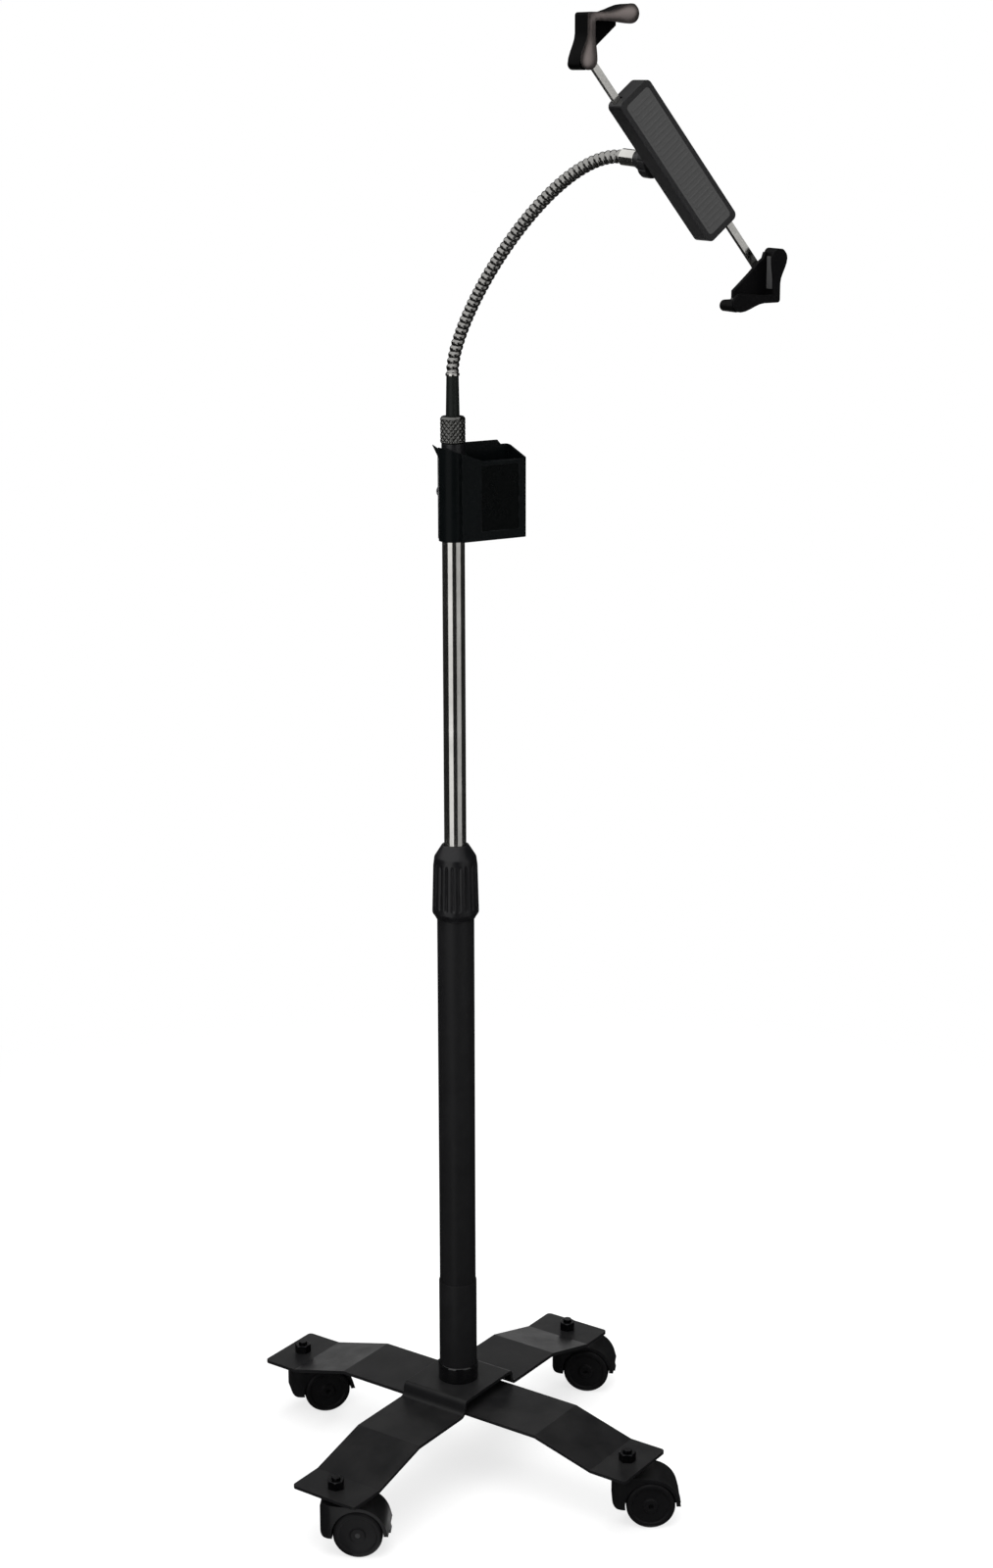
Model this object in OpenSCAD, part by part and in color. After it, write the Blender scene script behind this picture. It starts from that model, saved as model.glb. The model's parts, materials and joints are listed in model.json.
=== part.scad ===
// Adjustable tablet floor stand: four castered legs, telescopic mast, flexible neck, corner grip holder
// Millimetres. Origin on the floor under the mast, Z up, the holder faces -Y.

/* [Base] */
// Width of the flat steel leg bars
leg_w = 88; // [76:1:96]
// Thickness of the leg bars
leg_t = 4; // [3:0.5:5]
// Mast axis to the end of a leg
leg_len = 260; // [245:1:290]
// From the end of a leg to its caster's stem
stem_in = 24; // [20:1:30]
// Length of the level end of a leg
end_flat = 46; // [42:1:56]
// Horizontal run of the sloping part of a leg
slope_run = 76; // [60:1:84]
// Drop from the middle of a bar to its ends
leg_drop = 20; // [12:1:26]
// Rise of the bridge that the upper bar makes over the lower one
bridge_rise = 16; // [12:1:22]
// Direction of the first leg about the mast
leg_turn = 25; // [15:1:40]

/* [Casters] */
// Wheel diameter
wheel_d = 56; // [50:1:58]
// Width of one wheel of a pair
wheel_w = 16.5; // [14:0.5:19]
// Floor to the underside of a leg end
caster_h = 70; // [69:1:80]
// Stem axis to axle
trail = 26; // [22:1:29]
// Width of the hood's middle web
web_w = 14; // [13:0.5:18]
// Across flats of the stem nuts
nut_af = 17; // [15:0.5:19]

/* [Mast] */
// Outer diameter of the lower tube
lower_d = 42; // [40:0.5:46]
// Wall of the lower tube
lower_wall = 1.5; // [1.2:0.1:2]
// Top of the lower tube above the hub
lower_len = 608; // [560:1:660]
// Wall of the sleeve that holds the lower tube
socket_wall = 1; // [0.8:0.1:2]
// Length of that sleeve
socket_len = 125; // [90:1:160]
// Outer diameter of the upper tube
upper_d = 25; // [22:0.5:27]
// Wall of the upper tube
upper_wall = 1.2; // [1:0.1:2]
// Upper tube showing between the lower tube and the neck nut
upper_out = 495; // [470:1:520]
// Upper tube hidden inside the lower tube
upper_in = 257; // [240:1:262]
// Largest diameter of the twist collar
collar_d = 52.8; // [51.5:0.1:58]

/* [Pocket] */
// Mast axis to the far side of the pocket
pocket_w = 82; // [80:1:96]
// Front to back of the pocket
pocket_y = 40; // [36:1:48]
// Height of the pocket at the back
pocket_h = 103; // [85:1:112]
// How much lower the front rim is than the back one
pocket_slant = 12; // [6:1:20]
// How far the tab stands above the back rim
pocket_tab = 5; // [3:0.5:9]

/* [Neck] */
// Diameter of the flexible neck
neck_d = 13; // [12.5:0.1:14]
// Direction in which the neck leans
neck_turn = -68; // [-80:1:-55]
// Mast axis to the ball joint
ball_out = 253; // [240:1:275]
// Ball joint above the neck's plain sleeve
ball_up = 226; // [205:1:240]
// Stiffness of the curve at its foot
neck_foot = 64; // [50:1:80]
// Stiffness of the curve at its tip
neck_tip = 85; // [70:1:95]
// Downward slope of the tip
tip_droop = 5; // [0:1:15]

/* [Holder] */
// Width between the side pads at rest
cradle_w = 220; // [212:1:226]
// Height between the end pads at rest
cradle_h = 269; // [262:1:276]
// Depth from the rest pad to the front lips
cradle_t = 11; // [8:0.5:14]
// Length of the holder's housing
case_l = 172; // [170:1:176]
// Width of the housing
case_w = 42; // [41:0.5:46]
// Travel of each arm inward
arm_travel = 52; // [40:1:53]
// Travel of each arm outward
arm_out = 18; // [8:1:20]
// Length of a grip's prong along the end of the tablet
prong_top = 52; // [46:1:60]
// Length of a grip's prong along its side
prong_side = 48; // [46:1:56]
// How far the prongs flare outward at their ends
prong_flare = 8; // [4:0.5:10]
// Diameter of the ball
ball_d = 20; // [18:0.5:21]

/* [Hidden] */
$fn = 72;
gap = 0.3;
fit = 0.08;
FR = 0;
RR = 1;
RL = 2;
FL = 3;
trail_dirs = [-30, -38, -16, -34];
leg_dirs = [leg_turn - 90, leg_turn, leg_turn + 90, leg_turn + 180];

end_top = caster_h + leg_t;
stem_circle = leg_len - stem_in;
mid_top = end_top + leg_drop;
hub_top = mid_top + bridge_rise;
flat_from = leg_len - end_flat;
slope_from = flat_from - slope_run;
bridge_in = leg_w / 2 + 0.5;
bridge_lean = 2;
bend_r = 6;
corner_r = 5;
bolt_r = 6;
bolt_hole = bolt_r + 0.2;
bolt_af = 18;
bolt_head = 7.5;
washer_r = 16;
washer_t = 2.5;
spacer_r = 19;

wheel_r = wheel_d / 2;
wheel_room = 1.2;
hood_t = 3.8;
hood_r = wheel_r + wheel_room + hood_t;
web_cut = wheel_r - 5;
skirt_cut = wheel_r - 0.5;
hood_top = caster_h - 6;
hood_nose = 17.5;
nose_r = 8;
nose_low = 6;
nose_corner = 14;
tail_from = 15;
stem_r = 4;
stem_h = 28;
stem_low = caster_h - stem_h;
plate_r = 9.5;
plate_t = 3.5;
thread_r = 5;
thread_h = 13.5;
nut_h = 10;
boss_r = 9;
axle_r = 3;
wheel_in = web_w / 2 + 0.5;
hood_w = 2 * (wheel_in + wheel_w) - 1;

lower_r = lower_d / 2;
lower_bore = lower_r - lower_wall;
lower_top = hub_top + lower_len;
socket_r = lower_r + socket_wall;
plug_h = 12;
plug_top = hub_top + plug_h;
foot_r = socket_r + 1.4;
foot_h = 20;
upper_r = upper_d / 2;
upper_bore = upper_r - upper_wall;
upper_top = lower_top + upper_out;
upper_low = lower_top - upper_in;
collar_r = collar_d / 2;
collar_taper = 1.4;
seat_r = lower_r + 2;
seat_h = 30;
seat_low = 33;
bush_in = 60;
bush_cap = 3;
finger_low = upper_r + 4.5;
finger_top = upper_r + 3;
finger_h = 32;
finger_slot = 1.6;
guide_h = 40;
guide_cap = 3;

pocket_low = upper_top - pocket_h;
sleeve_r = upper_r + 3.5;
pocket_wall = 2.5;
pocket_floor = 4;
pocket_x = sleeve_r + 2;
pocket_corner = 5;
rim_fall = 20;
lug_out = 6;
lug_h = 11;
lug_w = 8;
lug_dir = 150;
recess_x = 24;
recess_t = 0.9;
recess_rim = 10;
tab_w = 54;
tab_cut = 6;
knob_screw_r = 2.5;
knob_screw_z = upper_top - 52;

cap_t = 3;
cap_in = 20;
cap_low = 12;
spigot_r = 6;
spigot_h = 19;
nut_low = upper_top + cap_t + gap;
nut_top = upper_top + 32;
nut_r = upper_r + 1.2;
nut_lip = 6;
flange_r = 9;
flange_t = 3.7;
waist_r = 7.5;
sleeve_h = 46;
sleeve_bore = 3;
neck_low = nut_top + sleeve_h;

neck_r = neck_d / 2;
groove_r = neck_r - 1.2;
knuckle_r = neck_r - 1.9;
neck_bore = 2;
joint_in = 2;
joint_out = 1.6;
joint_room = 0.4;
neck_parts = 8;
neck_sides = 16;
draw_in = 2;
tip_back = 34;
heading = [cos(neck_turn), sin(neck_turn)];
ball_z = neck_low + ball_up;
tip_dir = [cos(tip_droop), -sin(tip_droop)];
p0 = [0, neck_low];
p1 = [0, neck_low + neck_foot];
p3 = [ball_out, ball_z] - tip_back * tip_dir;
p2 = p3 - neck_tip * tip_dir;
curve_steps = 120;

ball_r = ball_d / 2;
ball_at = [ball_out * heading[0], ball_out * heading[1], ball_z];
cup_r = ball_r + 4.5;
cup_rim = 2;
cup_band = 5;
ring_wall = 3;
ferrule_r = neck_r + 2;
lip_z = 0.45 * ball_r;
stud_neck = 0.35 * ball_r;
case_t = 23;
pad_t = 1.5;
stud_len = 28;
stud_disc = 17;
pivot_r = 5;
pivot_h = 6.5;
clip_r = 8;
clip_t = 1.6;
clip_room = 0.5;
rest_back = stud_len + case_t;
holder_at = ball_at - [0, rest_back, 0];
diagonal = atan2(cradle_h, cradle_w);
reach = sqrt(cradle_w * cradle_w + cradle_h * cradle_h) / 2;

gear_m = 1.25;
gear_n = 14;
gear_r = gear_m * gear_n / 2;
gear_root = 1.25 * gear_m;
rack_root = gear_r + gear_root;
rack_tip = 0.85 * gear_m;
rack_back = case_w / 2 - 3.5;
bar_z = -15.2;
bar_t = 5;
rack_in = arm_out + 12;
bar_end = reach - 22;
case_floor = bar_z - gap;
case_ceil = bar_z + bar_t + gap;
split_z = bar_z + bar_t / 2;
screw_u = case_l / 2 - 7;
screw_r = 1.5;
screw_head = 2.9;
screw_sunk = 4;

wall_t = 3.5;
soft_t = 1.5;
lip_t = 3;
lip_in = 3;
lip_flare = 2.5;
grip_out = wall_t + soft_t;
grip_corner = 3;
flare_from = 14;
pad_ends = 8;
knob_r = 9;
knob_h = 11;
knob_shaft = 3;
knob_u = -50;
knob_v = -(rack_root + rack_back) / 2;

// Points of a polyline with each inner corner replaced by an arc of radius r
function unit(v) = v / norm(v);
function bend(a, b, c, r, k) =
    let (d1 = unit(b - a), d2 = unit(c - b), s = d1[0] * d2[1] - d1[1] * d2[0])
    let (turn = asin(s), back = r * abs(tan(turn / 2)), side = s > 0 ? 1 : -1)
    let (o = b - back * d1 + side * r * [-d1[1], d1[0]], at = atan2(d1[1], d1[0]))
    [for (i = [0:k]) o + side * r * [sin(at + turn * i / k), -cos(at + turn * i / k)]];
function rounded(p, r, k) = [
    p[0],
    for (i = [1:len(p) - 2]) each bend(p[i - 1], p[i], p[i + 1], r, k),
    p[len(p) - 1]];
// The same polyline moved sideways by t
function shifted(p, t) = [for (i = [0:len(p) - 1])
    let (d1 = unit(i == 0 ? p[1] - p[0] : p[i] - p[i - 1]))
    let (d2 = unit(i == len(p) - 1 ? p[i] - p[i - 1] : p[i + 1] - p[i]))
    let (n1 = [d1[1], -d1[0]], n2 = [d2[1], -d2[0]])
    p[i] + t * (n1 + n2) / (1 + n1 * n2)];
// Points along an arc about o, from one angle to another
function arc(o, r, from, to, k) = [for (i = [0:k])
    let (a = from + (to - from) * i / k) o + r * [cos(a), sin(a)]];
function reversed(p) = [for (i = [len(p) - 1:-1:0]) p[i]];

module strip(path, t) {
    polygon(concat(path, reversed(shifted(path, t))));
}

// Rectangle with round corners
module round_rect(w, h, r) {
    square([w - 2 * r, h], center = true);
    square([w, h - 2 * r], center = true);
    for (x = [-1, 1], y = [-1, 1])
        translate([x * (w / 2 - r), y * (h / 2 - r)]) circle(r);
}

// Leg bars
function half_bar() = [[slope_from, mid_top], [flat_from, end_top], [leg_len, end_top]];
function mirrored(p) = [for (i = [len(p) - 1:-1:0]) [-p[i][0], p[i][1]]];
function flat_path() = concat(mirrored(half_bar()), half_bar());
function bridge_half() = concat(
    [[bridge_in + leg_t, hub_top], [bridge_in + leg_t + bridge_lean, mid_top]], half_bar());
function bridge_path() = concat(mirrored(bridge_half()), bridge_half());

module leg_bar(path) {
    difference() {
        intersection() {
            rotate([90, 0, 0])
                linear_extrude(leg_w, center = true) strip(rounded(path, bend_r, 4), leg_t);
            linear_extrude(hub_top + 1) round_rect(2 * leg_len, leg_w, corner_r);
        }
        for (s = [-1, 1])
            translate([s * stem_circle, 0, caster_h - 1]) cylinder(r = thread_r, h = leg_t + 2);
        cylinder(r = bolt_hole, h = hub_top + 1);
    }
}

module lower_leg_bar() {
    color("dimgray") rotate(leg_dirs[FR]) leg_bar(flat_path());
}

module upper_leg_bar() {
    color("dimgray") rotate(leg_dirs[RR]) leg_bar(bridge_path());
}

module hub_spacer() {
    color("gray") translate([0, 0, mid_top]) difference() {
        cylinder(r = spacer_r, h = bridge_rise - leg_t);
        translate([0, 0, -1]) cylinder(r = bolt_hole, h = bridge_rise);
    }
}

module centre_bolt() {
    low = mid_top - leg_t - washer_t;
    color("silver") {
        translate([0, 0, low]) cylinder(r = washer_r, h = washer_t);
        translate([0, 0, low - bolt_head]) cylinder(r = bolt_af / 2 / cos(30), h = bolt_head, $fn = 6);
        translate([0, 0, low - 1]) cylinder(r = bolt_r, h = plug_top - low);
    }
}

// Mast
module base_socket() {
    color("dimgray") difference() {
        translate([0, 0, hub_top]) cylinder(r = socket_r, h = socket_len);
        translate([0, 0, plug_top]) cylinder(r = lower_r, h = socket_len);
        translate([0, 0, hub_top - 1]) cylinder(r = bolt_r, h = plug_h + 2);
    }
}

module foot_ring() {
    color("black") translate([0, 0, hub_top]) rotate_extrude()
        polygon([[socket_r, 0], [foot_r, 0], [foot_r, foot_h - 1.5], [foot_r - 0.9, foot_h],
            [socket_r, foot_h]]);
}

module lower_tube() {
    color("dimgray") translate([0, 0, plug_top]) difference() {
        cylinder(r = lower_r, h = lower_top - plug_top);
        translate([0, 0, -1]) cylinder(r = lower_bore, h = lower_len + 2);
    }
}

module collar_seat() {
    color("gray") translate([0, 0, lower_top - seat_low]) difference() {
        cylinder(r = seat_r, h = seat_h);
        translate([0, 0, -1]) cylinder(r = lower_r, h = seat_h + 2);
    }
}

module collet_bush() {
    in = upper_r + fit;
    color("gray") difference() {
        translate([0, 0, lower_top]) rotate_extrude()
            polygon([[in, -bush_in], [lower_bore, -bush_in], [lower_bore, 0], [lower_r, 0],
                [lower_r, bush_cap], [finger_low, bush_cap], [finger_top, finger_h], [in, finger_h]]);
        for (a = [0, 90])
            rotate(a) translate([-lower_r, -finger_slot / 2, lower_top + 2 * bush_cap])
                cube([lower_d, finger_slot, finger_h]);
    }
}

module twist_collar() {
    c = collar_r;
    in = lower_r + gap;
    groove = seat_r + gap;
    lean = atan2(collar_taper, 55);
    color("black") difference() {
        translate([0, 0, lower_top]) rotate_extrude()
            polygon([[in, -38], [c - 4.2, -38], [c - 3.4, -36], [c, -31], [c - collar_taper, 24],
                [c - 2.7, 34], [c - 3.9, 36], [upper_r + 2.5, 48], [upper_r + gap, 48],
                [upper_r + gap, finger_h + 1], [finger_top + gap, finger_h + 1],
                [finger_low + gap, bush_cap + 1], [in, bush_cap + gap], [groove, seat_h - seat_low + 1],
                [groove, -seat_low - 1], [in, -seat_low - 1]]);
        for (i = [0:19])
            rotate(i * 18) translate([c + 0.6, 0, lower_top - 20]) rotate([0, -lean, 0])
                cylinder(r = 1.5, h = 40, $fn = 24);
    }
}

module guide_bush() {
    color("gray") translate([0, 0, upper_low]) rotate_extrude()
        polygon([[upper_bore, -guide_cap - gap], [lower_bore - fit, -guide_cap - gap],
            [lower_bore - fit, guide_h], [upper_r + fit, guide_h], [upper_r + fit, -gap],
            [upper_bore, -gap]]);
}

module upper_tube() {
    color("silver") translate([0, 0, upper_low]) difference() {
        cylinder(r = upper_r, h = upper_top - cap_low - upper_low);
        translate([0, 0, -1]) cylinder(r = upper_bore, h = upper_top - upper_low);
    }
}

module top_plug() {
    color("black") translate([0, 0, upper_top]) rotate_extrude()
        polygon([[0, -cap_low - cap_in], [upper_bore, -cap_low - cap_in], [upper_bore, -cap_low],
            [upper_r, -cap_low], [upper_r, cap_t], [spigot_r, cap_t], [spigot_r, spigot_h - 1],
            [spigot_r - 1, spigot_h], [0, spigot_h]]);
}

// Pocket on the upper tube
module pocket_plan() {
    y = pocket_y / 2;
    r = pocket_corner;
    circle(sleeve_r);
    translate([0, -y]) square([pocket_w - r, pocket_y]);
    translate([-sleeve_r / 2, 0]) square([sleeve_r, y]);
    translate([pocket_w - r, r - y]) square([r, pocket_y - 2 * r]);
    for (s = [-1, 1]) translate([pocket_w - r, s * (y - r)]) circle(r);
}

module pocket() {
    y = pocket_y / 2;
    back = upper_top - pocket_tab;
    tilt = atan2(pocket_slant, pocket_y);
    color("black") {
        difference() {
            translate([0, 0, pocket_low]) linear_extrude(pocket_h) pocket_plan();
            translate([0, 0, pocket_low - 1]) cylinder(r = upper_r, h = pocket_h + 2);
            translate([pocket_x, -y + pocket_wall, pocket_low + pocket_floor])
                cube([pocket_w - pocket_wall - pocket_x, pocket_y - 2 * pocket_wall, pocket_h]);
            intersection() {
                translate([-sleeve_r - 1, y, back]) rotate([tilt, 0, 0])
                    translate([0, -2 * pocket_y, 0]) cube([sleeve_r + pocket_w + 2, 3 * pocket_y, pocket_h]);
                translate([-sleeve_r, -pocket_y, upper_top - 1]) rotate([0, rim_fall, 0])
                    translate([-5, 0, 0]) cube([2 * pocket_w, 2 * pocket_y, pocket_h]);
            }
            translate([recess_x, -y - 1, pocket_low + recess_rim])
                cube([pocket_w - 11 - recess_x, recess_t + 1,
                    pocket_h - pocket_tab - pocket_slant - recess_rim - 4]);
            translate([0, upper_r - 1, knob_screw_z]) rotate([-90, 0, 0])
                cylinder(r = knob_screw_r, h = y + 2);
        }
        rotate(lug_dir) translate([0, lug_w / 2, upper_top - 2]) rotate([90, 0, 0]) linear_extrude(lug_w)
            polygon([[upper_r + 1, -3], [upper_r + 1, -lug_h], [sleeve_r - 0.5, -lug_h],
                [sleeve_r + lug_out, 3]]);
        translate([0, y, 0]) rotate([90, 0, 0]) linear_extrude(pocket_wall)
            translate([pocket_x, 0])
                polygon([[0, back - 8], [tab_w, back - 8], [tab_w, back - 2], [tab_w - tab_cut, upper_top],
                    [tab_cut, upper_top], [0, back - 2]]);
    }
}

module pocket_screw() {
    color("silver") translate([0, upper_r, knob_screw_z]) rotate([-90, 0, 0]) {
        cylinder(r = knob_screw_r, h = pocket_y / 2 - upper_r + 2);
        translate([0, 0, pocket_y / 2 - upper_r]) cylinder(r = 7, h = 6);
    }
}

// Flexible neck
module neck_nut() {
    h = nut_top - nut_low;
    color("silver") difference() {
        translate([0, 0, nut_low]) rotate_extrude()
            polygon([[spigot_r + fit, 0], [nut_r - 1, 0], [nut_r, 1], [nut_r, h - 5], [nut_r - 1, h],
                [waist_r + 0.4, h], [waist_r + 0.4, h - nut_lip], [flange_r + gap, h - nut_lip],
                [flange_r + gap, spigot_h - gap], [spigot_r + fit, spigot_h - gap]]);
        for (i = [0:29])
            rotate(i * 12) translate([nut_r + 0.5, 0, nut_low + 2]) cylinder(r = 0.9, h = h - 8, $fn = 16);
    }
}

module neck_sleeve() {
    color("black") translate([0, 0, nut_top]) rotate_extrude()
        polygon([[sleeve_bore, -nut_lip - gap - flange_t], [flange_r, -nut_lip - gap - flange_t],
            [flange_r, -nut_lip - gap], [waist_r, -nut_lip - gap], [waist_r, 0.5], [neck_r + 0.1, sleeve_h],
            [sleeve_bore, sleeve_h]]);
}

function bez(t) = p0 * pow(1 - t, 3) + 3 * p1 * t * pow(1 - t, 2) + 3 * p2 * t * t * (1 - t) + p3 * pow(t, 3);
function slope(t) = unit((p1 - p0) * pow(1 - t, 2) + 2 * (p2 - p1) * t * (1 - t) + (p3 - p2) * t * t);
curve = [for (i = [0:curve_steps]) bez(i / curve_steps)];
function grown(i, sum) = i > curve_steps ? []
    : let (s = i == 0 ? 0 : sum + norm(curve[i] - curve[i - 1]))
        concat([[s, i / curve_steps]], grown(i + 1, s));
lengths = grown(0, 0);
neck_len = lengths[curve_steps][0];
part_len = neck_len / neck_parts;
// A point of the neck: length along it, radius and angle about it
function in_room(q) = [q[0] * heading[0], q[0] * heading[1], q[1]];
function on_neck(s, r, a) =
    let (t = lookup(s, lengths), d = slope(t), over = s < 0 ? s : s > neck_len ? s - neck_len : 0)
    in_room(bez(t) + over * d + r * cos(a) * [-d[1], d[0]]) + r * sin(a) * [heading[1], -heading[0], 0];
// Radius of a length of the neck, drawn in at its joints
function length_r(s, lo, hi) = neck_r - (neck_r - groove_r) * max(0, 1 - min(s - lo, hi - s) / draw_in);

module neck_part(i) {
    foot = i * part_len;
    head = foot + part_len;
    first = i == 0;
    last = i == neck_parts - 1;
    lo = first ? foot : foot + joint_in;
    hi = last ? head : head - joint_out;
    cone = sqrt(2) * (knuckle_r + joint_room);
    turn = 360 / neck_sides;
    below = first ? [[foot, neck_bore]] : [for (a = [-64, -42, -16, 12])
        [foot + knuckle_r * sin(a), knuckle_r * cos(a)]];
    above = last ? [[head, neck_bore]]
        : [[hi, cone - joint_out], [head - cone + neck_bore, neck_bore]];
    rings = concat(
        [for (q = below) [for (j = [0:neck_sides - 1]) on_neck(q[0], q[1], j * turn)]],
        [for (s = concat([lo], [for (m = [0:6]) lo + draw_in + (hi - lo - 2 * draw_in) * m / 6], [hi]))
            [for (j = [0:neck_sides - 1]) on_neck(s, length_r(s, lo, hi), j * turn)]],
        [for (q = above) [for (j = [0:neck_sides - 1]) on_neck(q[0], q[1], j * turn)]],
        [for (m = [1:3]) let (s0 = above[len(above) - 1][0], s1 = below[0][0])
            [for (j = [0:neck_sides - 1]) on_neck(s0 + (s1 - s0) * m / 4, neck_bore, j * turn)]]);
    n = len(rings);
    faces = [for (m = [0:n - 1], j = [0:neck_sides - 1])
        let (a = m * neck_sides + j, b = m * neck_sides + (j + 1) % neck_sides)
        let (c = ((m + 1) % n) * neck_sides + j, d = ((m + 1) % n) * neck_sides + (j + 1) % neck_sides)
        each [[a, c, b], [b, c, d]]];
    color("slategray") polyhedron([for (r = rings) each r], faces, convexity = 8);
}

module neck_1() neck_part(0);
module neck_2() neck_part(1);
module neck_3() neck_part(2);
module neck_4() neck_part(3);
module neck_5() neck_part(4);
module neck_6() neck_part(5);
module neck_7() neck_part(6);
module neck_8() neck_part(7);

// Ball joint; z runs along the neck's tip
module at_tip() {
    translate(ball_at) rotate([0, 90 + tip_droop, neck_turn]) children();
}

module neck_ferrule() {
    color("silver") at_tip() rotate_extrude()
        polygon([[0, -tip_back], [ferrule_r - 0.5, -tip_back], [ferrule_r, 1 - tip_back],
            [ferrule_r, -ball_r - pivot_h], [pivot_r, -ball_r - pivot_h], [pivot_r, -ball_r - 1],
            [0, -ball_r - 1]]);
}

module ball_cup() {
    back = gap - ball_r - pivot_h;
    color("black") at_tip() difference() {
        rotate_extrude()
            polygon([[0, back], [ferrule_r, back], [cup_r, -cup_band], [cup_r, cup_rim], [0, cup_rim]]);
        sphere(ball_r + fit);
        cylinder(r = ball_r + fit, h = cup_rim + 1);
        translate([0, 0, back - 1]) cylinder(r = pivot_r + fit, h = pivot_h + 1.5);
    }
}

module lock_ring() {
    in = sqrt(ball_r * ball_r - lip_z * lip_z) + 0.4;
    out = cup_r + ring_wall;
    color("black") at_tip() difference() {
        rotate_extrude()
            polygon([[cup_r + gap, -cup_band], [out - 0.5, -cup_band], [out, 1 - cup_band], [out, lip_z - 1],
                [out - 1, lip_z], [in, lip_z], [in + 0.9, cup_rim + gap], [cup_r + gap, cup_rim + gap]]);
        for (i = [0:11])
            rotate(i * 30) translate([out + 0.6, 0, -cup_band - 1]) cylinder(r = 1.6, h = 14, $fn = 24);
    }
}

// Holder; z runs toward the tablet's front and starts at the rest pad
module at_holder() {
    translate(holder_at) rotate([90, 0, 0]) children();
}

module on_arm() {
    at_holder() rotate(180 - diagonal) children();
}

module ball_stud() {
    b = -rest_back;
    seat = -case_t - gap;
    tip = case_floor - 1;
    color("silver") at_holder() {
        translate([0, 0, b]) sphere(ball_r);
        rotate_extrude()
            polygon([[0, b], [stud_neck, b], [stud_neck, b + 18], [9, seat - 4.2], [stud_disc, seat - 3.2],
                [stud_disc, seat], [pivot_r, seat], [pivot_r, tip], [0, tip]]);
    }
}

module stud_clip() {
    color("gray") at_holder() translate([0, 0, case_floor - 2 * clip_t]) difference() {
        cylinder(r = clip_r, h = clip_t);
        translate([0, 0, -1]) cylinder(r = pivot_r, h = 4);
    }
}

module case_plan() {
    round_rect(case_l, case_w, 6);
}

module case_channels() {
    far = case_l / 2 - 2.2;
    low = gear_r - gear_m;
    for (s = [0, 180]) rotate(s)
        translate([-far, low]) square([far + case_l, rack_back + gap - low]);
    circle(gear_r + gear_m + 0.6);
}

module case_back() {
    color("black") on_arm() difference() {
        translate([0, 0, -case_t]) linear_extrude(split_z + case_t) case_plan();
        translate([0, 0, case_floor]) linear_extrude(10) case_channels();
        translate([0, 0, -case_t - 1]) cylinder(r = pivot_r + fit, h = 12);
        translate([0, 0, case_floor - 2 * clip_t - gap]) cylinder(r = clip_r + clip_room, h = 6);
        translate([knob_u, knob_v, -case_t - 1]) cylinder(r = knob_shaft + fit, h = 12);
        for (s = [-1, 1]) translate([s * screw_u, 0, -case_t - 1]) {
            cylinder(r = screw_r + 0.1, h = 20);
            cylinder(r = screw_head + gap, h = screw_sunk);
        }
    }
}

module case_front() {
    color("black") on_arm() {
        difference() {
            translate([0, 0, split_z]) linear_extrude(-split_z) case_plan();
            translate([0, 0, split_z - 1]) linear_extrude(case_ceil - split_z + 1) case_channels();
            translate([0, 0, -pad_t]) linear_extrude(3) round_rect(case_l - 12, case_w - 10, 4);
            for (s = [-1, 1]) translate([s * screw_u, 0, split_z - 1]) cylinder(r = screw_r, h = 7);
        }
        translate([0, 0, bar_z]) cylinder(r = 2.5, h = case_ceil - bar_z + 1);
    }
}

module case_screws() {
    color("silver") on_arm() for (s = [-1, 1]) translate([s * screw_u, 0, -case_t + 0.6]) {
        cylinder(r = screw_head, h = screw_sunk - 1.6);
        cylinder(r = screw_r, h = split_z + case_t + 4);
    }
}

module rest_pad() {
    color("dimgray") on_arm() translate([0, 0, -pad_t]) linear_extrude(pad_t)
        round_rect(case_l - 12, case_w - 10, 4);
}

// Involute outline of one side of a pinion tooth, thinned by the backlash
function involute(base, r) = let (w = sqrt(r * r / (base * base) - 1)) w * 180 / PI - atan(w);
function flank(k) =
    let (base = gear_r * cos(20), tip = gear_r + gear_m, low = max(base, gear_r - 1.15 * gear_m))
    [for (i = [0:k]) let (r = low + (tip - low) * i / k)
        [r, 90 / gear_n - 1.4 + involute(base, gear_r) - involute(base, r)]];
function tooth(at) = concat(
    [(gear_r - gear_root) * [cos(at - 6.5), sin(at - 6.5)]],
    [for (q = flank(4)) q[0] * [cos(at - q[1]), sin(at - q[1])]],
    [for (q = reversed(flank(4))) q[0] * [cos(at + q[1]), sin(at + q[1])]],
    [(gear_r - gear_root) * [cos(at + 6.5), sin(at + 6.5)]]);

module pinion() {
    color("white") on_arm() translate([0, 0, bar_z]) linear_extrude(bar_t) difference() {
        polygon([for (i = [0:gear_n - 1]) each tooth(90 + 360 * i / gear_n)]);
        circle(2.5 + fit);
    }
}

// Arm bar with a rack on its inner edge; x runs outward
module arm_bar() {
    pitch = PI * gear_m;
    half = pitch / 4 - 0.12;
    lean = tan(20);
    count = floor((arm_travel + 14) / pitch);
    translate([0, 0, bar_z]) linear_extrude(bar_t) {
        difference() {
            translate([-rack_in, rack_root]) square([bar_end + rack_in, rack_back - rack_root]);
            translate([bar_end - 6, (rack_root + rack_back) / 2]) circle(screw_r);
        }
        for (i = [-ceil(rack_in / pitch):count]) translate([(i + 0.5) * pitch, 0])
            if ((i + 0.5) * pitch > half + 1.8 - rack_in)
                polygon([[-half - gear_root * lean, rack_root + 0.01],
                    [-half + rack_tip * lean, gear_r - rack_tip], [half - rack_tip * lean, gear_r - rack_tip],
                    [half + gear_root * lean, rack_root + 0.01]]);
    }
}

module upper_arm() {
    color("silver") on_arm() arm_bar();
}

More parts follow.
